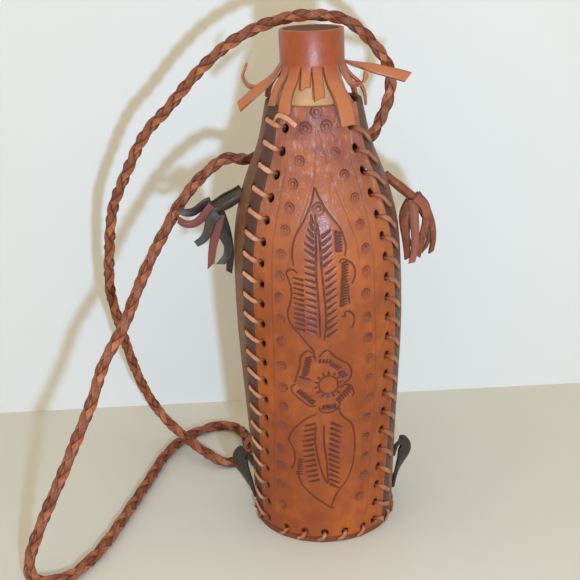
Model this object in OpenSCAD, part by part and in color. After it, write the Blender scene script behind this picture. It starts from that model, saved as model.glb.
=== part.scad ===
// Laced leather carrier for a one-litre bottle, with a fringed cap and a braided strap.
// Millimetres. Z is up, the origin is the centre of the foot, and the tooled front faces -Y.
// Azimuths are in degrees from the front, rising towards +X.

/* [Body] */
// Height of the wall leather's top edge above the ground
wall_top = 274; // [230:1:310]
// Greatest outside radius of the walls
body_r = 51.6; // [44:0.1:58]
// Thickness of the wall leather
leather_t = 3; // [2:0.1:4]
// Thickness of the base leather
base_t = 3.5; // [3:0.1:5]
// Slit left between the edges of two walls at a seam
seam_gap = 0.5; // [0.3:0.1:1]

/* [Lacing] */
// Holes in each row along a seam
seam_holes = 21; // [12:1:24]
// Diameter of the punched lace holes
lace_hole_d = 4.8; // [4.4:0.1:5.2]
// Width of the flat lace
lace_w = 2.6; // [2:0.1:2.8]
// Thickness of the flat lace
lace_t = 1.2; // [0.8:0.1:1.4]
// Height of the lowest seam hole
first_hole_up = 8; // [7.5:0.5:12]
// Drop of the highest seam hole below the wall's top edge
last_hole_down = 12; // [9:0.5:20]
// Hole centre to the edge on the front and back walls
panel_margin = 7; // [5:0.1:8]
// Hole centre to the edge on the gussets
gusset_margin = 11; // [8:0.1:12]
// Rise from a wall hole to its gusset hole on the level-laced seams
level_rise = 4; // [0:0.1:5]
// Fall from a wall hole to its gusset hole on the slant-laced seams
slant_fall = 13; // [8:0.1:18]
// Lowest that a gusset hole is punched
gusset_hole_up = 11; // [10:0.1:13]
// Height of the row of holes round the foot
foot_hole_up = 7; // [6.5:0.1:8]
// Places for stitches round the foot, the four at the corners left out
foot_places = 22; // [22:1:22]
// Foot stitch hole centre to the inside of the wall
base_margin = 5.8; // [5:0.1:8]
// Angle that each foot stitch leans by round the foot
foot_lean_angle = 5; // [0:0.5:6]

/* [Neck and cap] */
// Height of the cap's rim above the walls' top edge
neck_h = 41; // [36:0.5:50]
// Bore of the neck collar, round the bottle's neck
neck_bore_d = 29.4; // [26:0.1:34]
// Thickness of the collar leather
collar_t = 2; // [1.5:0.1:3]
// Height over which the collar flares out under the walls
flare_h = 22; // [16:0.5:26]
// Height of the flare's lower edge below the walls' top edge
flare_drop = 5; // [4:0.1:6]
// Slip of the cap over the collar, on the radius
cap_slip = 0.3; // [0.2:0.05:0.6]
// Thickness of the cap leather
cap_t = 2; // [1.5:0.1:3]
// Height of the cap's plain wall above the fringe
cap_wall_h = 20.4; // [15:0.1:26]
// Drop of the cap's top disc below its rim
cap_recess = 0.7; // [0:0.1:2]
// Length of the longest cut strip of the fringe
fringe_len = 40; // [24:1:42]
// Thickness of the fringe strips
fringe_t = 1.6; // [1:0.1:2]

/* [Tassels] */
// Height at which the left tassel leaves its gusset
left_tassel_up = 219; // [215:1:228]
// Height at which the right tassel leaves its gusset
right_tassel_up = 225; // [220:1:232]
// Slope of the left roll below level
left_roll_angle = 28; // [10:1:45]
// Slope of the right roll below level
right_roll_angle = 41; // [10:1:45]
// Length of the left roll outside the gusset
left_roll_len = 19; // [15:1:30]
// Length of the right roll outside the gusset
right_roll_len = 23; // [15:1:30]
// Diameter of the left roll where it meets the gusset
left_roll_d = 9.5; // [7:0.1:11]
// Diameter of the right roll where it meets the gusset
right_roll_d = 6.4; // [6:0.1:9]
// Diameter of the left roll where its fringe starts
left_roll_end_d = 8.6; // [6:0.1:9]
// Diameter of the right roll where its fringe starts
right_roll_end_d = 7; // [6:0.1:9]
// Diameter of the tail that goes through the gusset
tail_d = 5; // [4:0.1:6]
// Length of the longest tassel strip
tassel_len = 40; // [24:1:46]
// Width of a tassel strip
tassel_w = 5.4; // [3:0.1:6]
// Thickness of a tassel strip
tassel_t = 1.2; // [0.8:0.1:1.6]

/* [Keeper loops] */
// Width of the strip that makes a keeper loop
keeper_w = 12; // [8:0.5:14]
// Thickness of that strip
keeper_t = 2.2; // [1.6:0.1:2.6]
// Height of the slit that holds the strip's lower end
keeper_low = 14; // [13.5:0.1:20]
// Height of the slit that holds the strip's upper end
keeper_high = 38; // [30:1:44]
// Height of the loop's outer corner
keeper_tip_up = 47; // [42:1:50]
// Reach of the loop's outer corner from the wall
keeper_reach = 11.5; // [9:0.5:14]
// Turn of the loop's outer corner to the front
keeper_angle = 30; // [0:1:40]

/* [Strap] */
// Diameter of the round braided strap
strap_d = 6.6; // [5:0.1:7]
// Height at which the strap leaves the back wall
strap_up = 233; // [233:1:233]
// Azimuth of the strap's holes from the middle of the back
strap_angle = 31; // [31:1:31]
// Diameter of the knots that stop the strap inside
knot_d = 11.5; // [10:0.1:12]
// Length of those knots
knot_len = 10; // [8:0.1:12]

/* [Hidden] */

// Clearance between pieces that lie on each other
clear = 0.3;
// Overrun of every cut past the surface it leaves
over = 2 * leather_t;
// Sides of true round pieces
round_fn = 96;
hole_fn = 32;

// Overall height, ground to the cap's rim
total_h = wall_top + neck_h;

// Wall profile: share of the wall's height, share of the greatest radius
profile_shares = [[0, 0.872], [0.18, 0.915], [0.365, 0.967], [0.51, 1], [0.64, 0.998],
    [0.73, 0.962], [0.82, 0.842], [0.91, 0.658], [1, 0.55]];
// Seams: share of the wall's height, azimuth of the seam from the middle of its wall
seam_shares = [[0, 57.9], [0.18, 57.5], [0.365, 56.1], [0.585, 54.3], [0.675, 53.8],
    [0.78, 51.5], [0.89, 50.8], [1, 51.4]];
// Turn of the whole cover round its bottle: share of the wall's height, degrees
twist_shares = [[0, -11], [0.1, -8.5], [0.2, -5.5], [0.3, -2.2], [0.38, -0.6], [0.46, 0], [1, 0]];
// Heights at which the seam cuts are set out, as shares of the wall's height
cut_steps = 34;
cut_shares = [for (k = [-1:cut_steps + 1]) k / cut_steps];

// Foot stitches left out where the seam lacing fills the corner
foot_skips = [3, 8, 14, 19];

// Fringe strips: azimuth, width in degrees, length share, angle from straight down at the root,
// the middle and the tip, sideways turn and roll of the tip
fringe_shares = [
    [-35, 24, 0.78, 8, 42, 6, -4, 0], [-13, 19, 0.28, 6, 30, 26, 0, 0],
    [8, 20, 0.5, 8, 40, 36, 2, 0], [36, 33, 0.86, 8, 42, 8, 5, 0],
    [64, 21, 0.66, 26, 70, 96, 6, 10], [84, 17, 0.6, 20, 52, 14, 0, -30],
    [101, 17, 1, 76, 74, 74, -10, 62], [-58, 20, 0.72, 22, 58, 18, -4, -8],
    [-78, 18, 0.88, 34, 58, 42, -2, -34], [-97, 18, 0.92, 46, 78, 138, 0, -12],
    [119, 17, 0.68, 14, 46, 16, 2, 0], [137, 17, 0.73, 8, 43, 8, 0, 0],
    [156, 18, 0.68, 8, 43, 10, 4, 0], [176, 19, 0.72, 8, 43, 8, -3, 0],
    [196, 19, 0.66, 8, 43, 12, 0, 0], [215, 18, 0.72, 10, 44, 8, 4, 0],
    [234, 18, 0.68, 20, 52, 14, -3, 0]];

// Tassel strips: place round the roll's end in degrees from its top to the back, length share,
// angle out from straight down at the root, the middle and the tip, turn of the strip's face from
// the front, and drift to the back as a share of the length
left_tassel_shares = [
    [-10, 0.54, 90, 50, 112, -40, 0], [-60, 0.66, 50, 45, 128, -30, -0.08],
    [-120, 0.6, 70, 10, 60, 12, -0.06], [-149, 0.8, 9, 16, 8, -8, -0.1],
    [178, 0.84, 35, -38, 42, 16, -0.1], [150, 1, -22, -11, 7, -14, 0.06]];
right_tassel_shares = [
    [-36, 1, 44, 22, -9, 34, 0.02], [-63, 1, 77, -11, -15, 12, -0.08],
    [-113, 0.98, -3, 6, -13, -12, -0.12], [-160, 0.94, -56, 8, 3, -30, -0.06],
    [179, 0.76, 16, -18, 18, 20, 0.06], [68, 1, 23, 29, -18, 50, 0.12]];

// Keeper loop between its slits: share of the reach, share of the rise
keeper_shares = [[0.16, 0.05], [0.56, 0.42], [0.84, 0.66], [0.93, 0.83], [0.82, 0.95], [0.62, 1],
    [0.36, 0.88], [0.18, 0.78]];

// Strap route, from the left hole in the back wall to the right one
strap_route = [[-23.6, 39.3, 233], [-30, 42.2, 232],
    [-39, 39, 231], [-54, 31, 233.5], [-70, 24, 223.5], [-83, 16, 210], [-94, 8, 194],
    [-103, 0, 180], [-113, -9, 161], [-121, -16, 144], [-134, -24, 124], [-143, -32, 102],
    [-154, -40, 80], [-164, -47, 60], [-174, -53, 41], [-183, -58, 22], [-186.5, -62, 10],
    [-183, -68, 4.2], [-172, -70, 3.5], [-160, -64, 3.5], [-146, -40, 3.5], [-133, -1, 3.5],
    [-120, 42, 3.5], [-109, 79, 3.5], [-95, 104, 3.5], [-80, 117, 3.5], [-63, 121, 3.5],
    [-51, 108, 3.5], [-48, 84, 3.5], [-54, 65, 3.5], [-66, 62, 4], [-80, 73, 7.5],
    [-95, 93, 11.5], [-107, 107, 17], [-117, 113, 30], [-125, 108, 52], [-131, 100, 80],
    [-135.5, 92, 108], [-138, 84, 134], [-135, 75, 165], [-129.5, 67, 195], [-119, 60, 219],
    [-103.5, 53, 247], [-86.5, 48, 265], [-69.5, 44, 284], [-49.5, 40, 301.5], [-27.5, 38, 313],
    [-2.5, 37, 318.5], [22, 36, 315.8], [36.5, 35, 305.5], [48.5, 33.5, 289.8], [51.5, 32, 278],
    [49.8, 31, 266], [45, 31, 254], [40, 34, 243.5], [35, 39.5, 236.5], [29, 43, 233.5],
    [23.6, 39.3, 233]];
strap_sides = 8;

tan_front = [0.69, 0.38, 0.23];
dark_side = [0.4, 0.28, 0.2];
lace_tan = [0.74, 0.46, 0.3];
cream = [0.87, 0.69, 0.49];
dark_tab = [0.24, 0.2, 0.18];

function sharp_slope(t, i) = let (a = max(i - 1, 0), b = min(i + 1, len(t) - 1))
    (t[b][1] - t[a][1]) / (t[b][0] - t[a][0]);
function span_at(t, x, i = 0) = i >= len(t) - 2 || x <= t[i + 1][0] ? i : span_at(t, x, i + 1);
// Smooth curve through a table of points
function smooth_at(t, x) = let (i = span_at(t, x), h = t[i + 1][0] - t[i][0],
    u = (x - t[i][0]) / h, m = sharp_slope(t, i) * h, n = sharp_slope(t, i + 1) * h)
    (2 * u * u * u - 3 * u * u + 1) * t[i][1] + (u * u * u - 2 * u * u + u) * m
    + (3 * u * u - 2 * u * u * u) * t[i + 1][1] + (u * u * u - u * u) * n;

function wall_r(z) = body_r * smooth_at(profile_shares, z / wall_top);
slope_step = wall_top / 500;
function wall_lean(z) = atan((wall_r(z + slope_step) - wall_r(z - slope_step)) / (2 * slope_step));
function inner_r(z) = wall_r(z) - leather_t / cos(wall_lean(z));
function seam(z) = lookup(z / wall_top, seam_shares);
function twist(z) = lookup(z / wall_top, twist_shares);

function ray(az) = [sin(az), -cos(az), 0];
function wall_normal(az, z) = cos(wall_lean(z)) * ray(az) - sin(wall_lean(z)) * [0, 0, 1];
// Point on the wall's outside, moved out along its normal
function skin(az, z, out = 0) = wall_r(z) * ray(az) + [0, 0, z] + out * wall_normal(az, z);
// Angle that a length along the wall takes up at a height
function turn(length, z) = length / wall_r(z) * 180 / PI;

// A seam is named by the azimuth of its wall's middle and the side it is on, -1 or 1
function seam_az(mid, side, off, z) = mid + side * (seam(z) + turn(off, z)) + twist(z);
hole_step = (wall_top - last_hole_down - first_hole_up) / (seam_holes - 1);
function hole_z(i) = first_hole_up + i * hole_step;
// The left front and right back seams are laced level, the other two on the slant
function gusset_z(i, side) = side < 0 ? hole_z(i) + level_rise
    : max(hole_z(i) - slant_fall, gusset_hole_up);
first_slant = 1;

function unit(v) = v / norm(v);
function total(v, i = 0) = i >= len(v) ? 0 : v[i] + total(v, i + 1);

// Skin of a sweep: rings of the same number of points, closed by flat ends
module loft(rings) {
    k = len(rings[0]);
    n = len(rings);
    polyhedron(points = [for (r = rings) each r], faces = [
        for (j = [0:n - 2], i = [0:k - 1]) each
            [[j * k + i, (j + 1) * k + i, (j + 1) * k + (i + 1) % k],
             [j * k + i, (j + 1) * k + (i + 1) % k, j * k + (i + 1) % k]],
        [for (i = [0:k - 1]) i], [for (i = [k - 1:-1:0]) (n - 1) * k + i]]);
}

// Direction of a path at one of its points
function heading(p, i) = unit(p[min(i + 1, len(p) - 1)] - p[max(i - 1, 0)]);
// Rings of a flat strip along a path, its width lying along guide
function strip_rings(p, guide, w, t) = [for (i = [0:len(p) - 1])
    let (f = heading(p, i), g = is_num(guide[0]) ? guide : guide[i],
        a = unit(g - (g * f) * f) * w / 2, b = cross(f, unit(a)) * t / 2)
    [p[i] - a - b, p[i] + a - b, p[i] + a + b, p[i] - a + b]];

// Rotates a cylinder that stands along Z onto a direction
module point_along(n) {
    rotate([0, acos(n[2]), atan2(n[1], n[0])]) children();
}

module punch(az, z, d) {
    translate(skin(az, z, -leather_t / 2)) point_along(wall_normal(az, z))
        cylinder(d = d, h = over + leather_t, center = true, $fn = hole_fn);
}

// All four walls as one shell standing on the base
wall_steps = 22;
module wall_shell() {
    z = [for (k = [0:wall_steps]) base_t + (wall_top - base_t) * k / wall_steps];
    rotate_extrude($fn = round_fn) polygon(concat(
        [for (h = z) [wall_r(h), h]],
        [for (k = [wall_steps:-1:0]) [inner_r(z[k]), z[k]]]));
}

// Wedge from the axis out past the walls, between two seams
cut_r = 1.2 * body_r;
module seam_wedge(mid, from_side, to_side, inset) {
    loft([for (c = cut_shares) let (z = c * wall_top, h = min(max(z, 0), wall_top),
            g = turn(seam_gap / 2, h), t = twist(h),
            a = from_side * (seam(h) + inset * g) + t,
            b = (to_side == from_side ? from_side * (180 - seam(h) - inset * g)
                : to_side * (seam(h) + inset * g)) + t,
            m = (to_side == from_side ? from_side * 90 : 0) + t)
        [[0, 0, z], cut_r * ray(mid + a) + [0, 0, z], cut_r * ray(mid + m) + [0, 0, z],
            cut_r * ray(mid + b) + [0, 0, z]]]);
}

// Rows of lace holes
module panel_row(mid, side) {
    for (i = [0:seam_holes - 1])
        punch(seam_az(mid, side, -panel_margin, hole_z(i)), hole_z(i), lace_hole_d);
}

module gusset_row(mid, side) {
    for (i = [side < 0 ? 0 : first_slant:seam_holes - 1]) let (z = gusset_z(i, side))
        punch(seam_az(mid, side, gusset_margin, z), z, lace_hole_d);
}

foot_twist = twist(foot_hole_up);
foot_az = [for (k = [0:foot_places - 1]) if (len(search(k, foot_skips)) == 0)
    k * 360 / foot_places + foot_twist];
module foot_row() {
    for (a = [for (b = foot_az) b + foot_lean_angle])
        translate(foot_hole_up * [0, 0, 1] + (wall_r(foot_hole_up) - leather_t / 2) * ray(a))
            point_along(ray(a))
                cylinder(d = lace_hole_d, h = over + leather_t, center = true, $fn = hole_fn);
}

module front_panel() {
    color(tan_front) difference() {
        intersection() {
            wall_shell();
            seam_wedge(0, -1, 1, -1);
        }
        panel_row(0, -1);
        panel_row(0, 1);
        foot_row();
    }
}

strap_hole_d = strap_d + 2 * clear;
module strap_hole(side) {
    z = strap_up;
    a = 180 + side * strap_angle;
    translate(z * [0, 0, 1] + wall_r(z) * ray(a)) point_along(ray(a))
        cylinder(d = strap_hole_d, h = 2 * over, center = true, $fn = hole_fn);
}

module back_panel() {
    color(tan_front) difference() {
        intersection() {
            wall_shell();
            seam_wedge(180, -1, 1, -1);
        }
        panel_row(180, -1);
        panel_row(180, 1);
        foot_row();
        strap_hole(-1);
        strap_hole(1);
    }
}

// Slits that take the two ends of a keeper strip
module keeper_slits(side) {
    for (z = [keeper_low, keeper_high])
        translate([side * wall_r(z), 0, z])
            cube([2 * over, keeper_w + 2 * clear, keeper_t + 2 * clear], center = true);
}

tail_hole_d = tail_d + 2 * clear;
module gusset(side) {
    color(dark_side) difference() {
        intersection() {
            wall_shell();
            seam_wedge(0, side, side, 1);
        }
        gusset_row(0, side);
        gusset_row(180, -side);
        foot_row();
        keeper_slits(side);
        translate([side * wall_r(tassel_up(side)), 0, tassel_up(side)]) rotate([0, 90, 0])
            cylinder(d = tail_hole_d, h = 2 * over, center = true, $fn = hole_fn);
    }
}

module left_gusset() { gusset(-1); }
module right_gusset() { gusset(1); }

// Base disc, with grooves underneath that take the foot lace
foot_r = wall_r(base_t);
base_hole_r = inner_r(base_t) - base_margin;
groove_clear = 0.25;
groove_h = lace_t + groove_clear + clear;
module base_panel() {
    color(dark_side) difference() {
        cylinder(r = foot_r, h = base_t, $fn = round_fn);
        for (a = foot_az) rotate([0, 0, a - 90]) {
            translate([base_hole_r, -lace_w / 2 - clear, -over])
                cube([foot_r, lace_w + 2 * clear, over + groove_h]);
            translate([base_hole_r, 0, base_t / 2])
                cylinder(d = lace_hole_d, h = over + base_t, center = true, $fn = hole_fn);
        }
    }
}

// Lacing. A lace lies this far off the leather, and hugs the seam's side of its hole
lie = lace_t / 2 + clear;
function chord(r, w) = sqrt(r * r - w * w / 4);
hug = chord(lace_hole_d / 2 - clear / 2, lace_w) - lace_t / 2;
bend = lace_hole_d / 2 + clear;
inside = -leather_t - lie;
run = panel_margin + gusset_margin;
// Place along a stitch: distance from the wall hole towards the gusset hole, and standing out
function stitch_len(zp, zg) = norm([run, zg - zp]);
function on_seam(mid, side, zp, zg, d, out) =
    let (u = d / stitch_len(zp, zg), z = zp + (zg - zp) * u)
    skin(seam_az(mid, side, run * u - panel_margin, z), z, out);
// A stitch is a list of places, each with the direction in which the lace is wide
bend_shares = [0.36, 0.68];
function stitch(mid, side, zp, zg) = let (
    all = stitch_len(zp, zg), mid_z = (zp + zg) / 2,
    p = [for (q = [[hug, inside], [hug, lie / 2], [bend, lie], [all * bend_shares[0], lie],
            [all * bend_shares[1], lie], [all - bend, lie], [all - hug, lie / 2],
            [all - hug, inside]]) on_seam(mid, side, zp, zg, q[0], q[1])],
    wide = cross(p[5] - p[2], wall_normal(seam_az(mid, side, 0, mid_z), mid_z)))
    [for (q = p) [q, unit(wide) * (wide[2] < 0 ? -1 : 1)]];
// The end that comes out of the lowest slant hole and turns down to the foot
tail_drop = first_hole_up - base_t;
function slant_tail(mid, side) = let (z = hole_z(0), up = [0, 0, 1],
    out = ray(seam_az(mid, side, 0, z))) [
    [on_seam(mid, side, z, z, hug, inside), up],
    [on_seam(mid, side, z, z, hug, lie / 2), up],
    [on_seam(mid, side, z, z, bend, lie), up],
    [skin(seam_az(mid, side, -clear, z - tail_drop / 3), z - tail_drop / 3, lie), up],
    [skin(seam_az(mid, side, lace_w, base_t), base_t, lie), up]];

module seam_lace(mid, side) {
    path = side < 0
        ? [for (i = [0:seam_holes - 1]) each stitch(mid, side, hole_z(i), gusset_z(i, side))]
        : concat([for (i = [seam_holes - 1:-1:first_slant])
            each stitch(mid, side, hole_z(i), gusset_z(i, side))], slant_tail(mid, side));
    color(lace_tan)
        loft(strip_rings([for (q = path) q[0]], [for (q = path) q[1]], lace_w, lace_t));
}

module front_left_lace() { seam_lace(0, -1); }
module front_right_lace() { seam_lace(0, 1); }
module back_left_lace() { seam_lace(180, 1); }
module back_right_lace() { seam_lace(180, -1); }

// Foot lace: through the wall, down over the edge, under the base in its groove and up inside
under_z = groove_clear + lace_t / 2;
edge_r = foot_r + lie;
turn_in = hug / 2;
function foot_stitch(a) = let (h = foot_hole_up, r = wall_r(h), up = [0, 0, 1],
    b = a + foot_lean_angle) [
    (r + inside) * ray(b) + (h - turn_in) * up,
    (r + lie / 2) * ray(b) + (h - turn_in) * up,
    (r + lie) * ray(b - foot_lean_angle / 3) + (h - bend) * up,
    (edge_r + clear / 4) * ray(a) + (groove_h + lace_t / 2) * up,
    (foot_r + lace_t / 2) * ray(a) + (under_z + clear / 4) * up,
    (foot_r - bend) * ray(a) + under_z * up,
    (base_hole_r + turn_in + bend / 2) * ray(a) + under_z * up,
    (base_hole_r + turn_in / 2) * ray(a) + (under_z + lace_t) * up,
    (base_hole_r + turn_in / 2) * ray(a) + (base_t + lie) * up];
foot_rings_each = 9;
module base_lace() {
    path = [for (a = foot_az) each foot_stitch(a)];
    guide = [for (a = foot_az, j = [1:foot_rings_each]) ray(a + 90)];
    color(lace_tan) loft(strip_rings(path, guide, lace_w, lace_t));
}

// Neck collar, flaring out to lie inside the walls' top edges
collar_r = neck_bore_d / 2 + collar_t;
flare_z = wall_top - flare_drop;
flare_r = inner_r(flare_z) - clear;
cap_bottom = total_h - cap_wall_h;
disc_t = cap_t;
disc_z = total_h - cap_recess - disc_t;
collar_top = disc_z - clear;
flare_steps = 8;
function flare_at(s) = [collar_r + (flare_r - collar_r) * s * s, flare_z + flare_h * (1 - s)];
module neck_sleeve() {
    color(cream) rotate_extrude($fn = round_fn) polygon(concat(
        [[collar_r - collar_t, collar_top], [collar_r, collar_top]],
        [for (k = [0:flare_steps]) flare_at(k / flare_steps)],
        [for (k = [flare_steps:-1:0]) flare_at(k / flare_steps) - [collar_t, 0]]));
}

// Cap: a leather wall cut into strips below, closed by a disc
cap_inner_r = collar_r + cap_slip;
cap_r = cap_inner_r + cap_t;
strip_steps = 6;
fringe_start = fringe_t / 2;
strip_r = cap_r - fringe_t / 2;
function bow(a, b, c, s) = s < 0.5 ? a + (b - a) * 2 * s : b + (c - b) * (2 * s - 1);
function strip_drops(f) = [for (k = [0:strip_steps]) bow(f[3], f[4], f[5], k / strip_steps)];
function strip_path(f) = let (step = f[2] * fringe_len / strip_steps, drop = strip_drops(f))
    concat([strip_r * ray(f[0]) + (cap_bottom + fringe_start) * [0, 0, 1]],
        [for (k = [1:strip_steps]) let (
            r = strip_r + step * total([for (j = [1:k]) sin(drop[j])]),
            z = cap_bottom - step * total([for (j = [1:k]) cos(drop[j])]),
            s = k / strip_steps)
            r * ray(f[0] + f[6] * s * s) + [0, 0, z]]);
// A strip's width lies round the cap, and rolls up or down towards its tip
function strip_guide(f) = [for (k = [0:strip_steps]) let (a = f[7] * k / strip_steps)
    cos(a) * ray(f[0] + 90) + sin(a) * [0, 0, 1]];
module cap_skirt() {
    color(tan_front) union() {
        difference() {
            translate([0, 0, cap_bottom]) cylinder(r = cap_r, h = cap_wall_h, $fn = round_fn);
            translate([0, 0, cap_bottom - over])
                cylinder(r = cap_inner_r, h = cap_wall_h + 2 * over, $fn = round_fn);
        }
        for (f = fringe_shares)
            loft(strip_rings(strip_path(f), strip_guide(f), strip_r * f[1] * PI / 180, fringe_t));
    }
}

module cap_top() {
    color(dark_side) translate([0, 0, disc_z])
        cylinder(r = cap_inner_r - clear / 2, h = disc_t, $fn = round_fn);
}

// Tassels: a leather strip rolled up, its tail through the gusset and its end cut into strips
strip_bends = 5;
function tassel_up(side) = side < 0 ? left_tassel_up : right_tassel_up;
module tassel(side, root_d, end_d, length, fall, strips) {
    up = tassel_up(side);
    n = wall_normal(side * 90, up);
    face = wall_r(up) + clear;
    root = skin(side * 90, up, clear);
    along = [side * cos(fall), 0, -sin(fall)];
    tip = root + length * along;
    union() {
        difference() {
            translate(root - root_d * along) point_along(along)
                cylinder(d1 = root_d, d2 = end_d, h = length + root_d, $fn = hole_fn);
            translate(root) point_along(-n) cylinder(r = length, h = length, $fn = hole_fn);
        }
        translate([side * (face - clear - leather_t - tail_d), 0, up]) rotate([0, side * 90, 0])
            cylinder(d = tail_d, h = clear + leather_t + 2 * tail_d, $fn = hole_fn);
        for (s = strips) let (p = tassel_path(s, side, tip, along, (end_d - tassel_t) / 2))
            loft(strip_rings(p, facing(p, [side * sin(s[5]), -cos(s[5]), 0]), tassel_w, tassel_t));
    }
}
// Directions in which a strip is wide when its face is to look along n
function facing(p, n) = [for (i = [0:len(p) - 1]) cross(heading(p, i), n)];
function tassel_path(s, side, tip, along, r) = let (up = cross(along, [0, side, 0]),
    start = tip - tassel_t * along + r * (cos(s[0]) * up + sin(s[0]) * [0, 1, 0]),
    step = s[1] * tassel_len / strip_bends,
    drop = [for (k = [0:strip_bends]) bow(s[2], s[3], s[4], k / strip_bends)])
    [for (k = [0:strip_bends]) start + step * [
        k == 0 ? 0 : side * total([for (j = [1:k]) sin(drop[j])]), s[6] * k,
        k == 0 ? 0 : -total([for (j = [1:k]) cos(drop[j])])]];

module left_tassel() {
    color(dark_tab) tassel(-1, left_roll_d, left_roll_end_d, left_roll_len, left_roll_angle,
        left_tassel_shares);
}
module right_tassel() {
    color(lace_tan) tassel(1, right_roll_d, right_roll_end_d, right_roll_len, right_roll_angle,
        right_tassel_shares);
}

// Keeper: a strip whose ends go in at two slits, bent out to a loop between them, its outer
// corner turned so that its face shows from the front
module keeper(side) {
    low_r = wall_r(keeper_low);
    high_r = wall_r(keeper_high);
    tuck = leather_t + keeper_t;
    rise = keeper_tip_up - keeper_t / 2 - keeper_low;
    flat = concat([[low_r - tuck, keeper_low, 0], [low_r, keeper_low, 0]],
        [for (k = keeper_shares)
            [low_r + k[0] * keeper_reach, keeper_low + k[1] * rise, k[0] * keeper_angle]],
        [[high_r, keeper_high, 0], [high_r - tuck, keeper_high, 0]]);
    loft(strip_rings([for (q = flat) [side * q[0], 0, q[1]]],
        [for (q = flat) [side * sin(q[2]), cos(q[2]), 0]], keeper_w, keeper_t));
}

module left_keeper() { color(dark_tab) keeper(-1); }
module right_keeper() { color(dark_tab) keeper(1); }

// Braided strap as a round tube along its route, ending inside the two knots
knot_round = knot_len / 5;
knot_r = inner_r(strap_up + knot_d / 2 - knot_round) - 2 * clear;
function strap_end(side) = (knot_r - knot_len + 2 * knot_round) * ray(180 + side * strap_angle)
    + strap_up * [0, 0, 1];
function carry(p, i, n) = let (f = heading(p, i)) unit(n - (n * f) * f);
function frames(p, i, n) = i >= len(p) ? [] : let (m = carry(p, i, n))
    concat([m], frames(p, i + 1, m));
module strap() {
    p = concat([strap_end(1)], strap_route, [strap_end(-1)]);
    side = frames(p, 0, [0, 0, 1]);
    color(lace_tan) loft([for (i = [0:len(p) - 1]) let (f = heading(p, i), b = cross(f, side[i]))
        [for (k = [0:strap_sides - 1]) let (a = 360 * (k + 0.5) / strap_sides)
            p[i] + strap_d / 2 * (cos(a) * side[i] + sin(a) * b)]]);
}

// Knots that stop the strap inside the back wall, each over an end of it
knot_bore_r = strap_d / 2 + clear / 4;
module knot(side) {
    along = -ray(180 + side * strap_angle);
    translate(knot_r * -along + strap_up * [0, 0, 1]) point_along(along)
        rotate_extrude($fn = hole_fn) polygon([
            [knot_bore_r, 0], [knot_d / 2 - knot_round, 0], [knot_d / 2, knot_round],
            [knot_d / 2, knot_len - knot_round], [knot_d / 2 - knot_round, knot_len], [0, knot_len],
            [0, knot_len - knot_round], [knot_bore_r, knot_len - knot_round]]);
}

module left_strap_knot() { color(lace_tan) knot(1); }
module right_strap_knot() { color(lace_tan) knot(-1); }

front_panel();
back_panel();
left_gusset();
right_gusset();
base_panel();
front_left_lace();
front_right_lace();
back_left_lace();
back_right_lace();
base_lace();
neck_sleeve();
cap_skirt();
cap_top();
left_tassel();
right_tassel();
left_keeper();
right_keeper();
strap();
left_strap_knot();
right_strap_knot();
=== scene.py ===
# %% [markdown]
# # A laced leather bottle carrier
#
# The carrier is a tall cover of four leather walls, laced together on a round base. The front is
# carved and stamped, the seams are whip-stitched with flat lace through punched holes, a fringed
# cap sits on the neck, and a round braided strap lies beside it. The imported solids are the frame:
# every piece here is made around them, in the same place, in metres.

import math
import random

import bmesh
import bpy
import numpy as np
from mathutils import Matrix, Vector
from mathutils.kdtree import KDTree


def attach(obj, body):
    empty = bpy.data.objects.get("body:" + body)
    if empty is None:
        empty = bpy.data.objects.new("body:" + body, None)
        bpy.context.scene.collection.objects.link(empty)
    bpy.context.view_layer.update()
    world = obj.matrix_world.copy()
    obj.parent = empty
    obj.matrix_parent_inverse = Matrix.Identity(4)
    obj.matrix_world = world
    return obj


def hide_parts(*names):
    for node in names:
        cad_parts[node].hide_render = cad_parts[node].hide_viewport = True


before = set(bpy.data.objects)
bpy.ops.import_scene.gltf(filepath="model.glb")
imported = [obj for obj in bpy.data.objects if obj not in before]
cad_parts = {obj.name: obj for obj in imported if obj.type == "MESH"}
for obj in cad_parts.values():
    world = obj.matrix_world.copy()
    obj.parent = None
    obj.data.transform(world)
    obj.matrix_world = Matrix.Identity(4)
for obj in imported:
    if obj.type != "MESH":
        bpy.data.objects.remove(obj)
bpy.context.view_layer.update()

# %% [markdown]
# ## Units and small helpers
#
# Leather work is thought of in millimetres, so the shapes are worked out in them and brought to
# metres once, where a mesh gets its places. A smooth curve through chosen points is needed for
# almost every piece: the strap, the lace, the carved lines and the outline of the walls.

# %% Units and smooth tables
MM = 0.001
UP = np.array([0.0, 0.0, 1.0])
BACK = np.array([0.0, 1.0, 0.0])


def smooth_table(table, x):
    """Cubic curve through (place, value) pairs, with the slopes that part.scad uses."""
    xs, ys = (np.array(column, float) for column in zip(*table))
    last = len(xs) - 1
    here = np.arange(last + 1)
    before, after = np.maximum(here - 1, 0), np.minimum(here + 1, last)
    slopes = (ys[after] - ys[before]) / (xs[after] - xs[before])
    i = np.clip(np.searchsorted(xs, x, side="right") - 1, 0, last - 1)
    h = xs[i + 1] - xs[i]
    u = (x - xs[i]) / h
    return (
        (2 * u**3 - 3 * u**2 + 1) * ys[i]
        + (u**3 - 2 * u**2 + u) * slopes[i] * h
        + (3 * u**2 - 2 * u**3) * ys[i + 1]
        + (u**3 - u**2) * slopes[i + 1] * h
    )


print("half way up a smooth table of 0, 1, 1 is", smooth_table([(0, 0), (1, 1), (2, 1)], 0.5))


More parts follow.
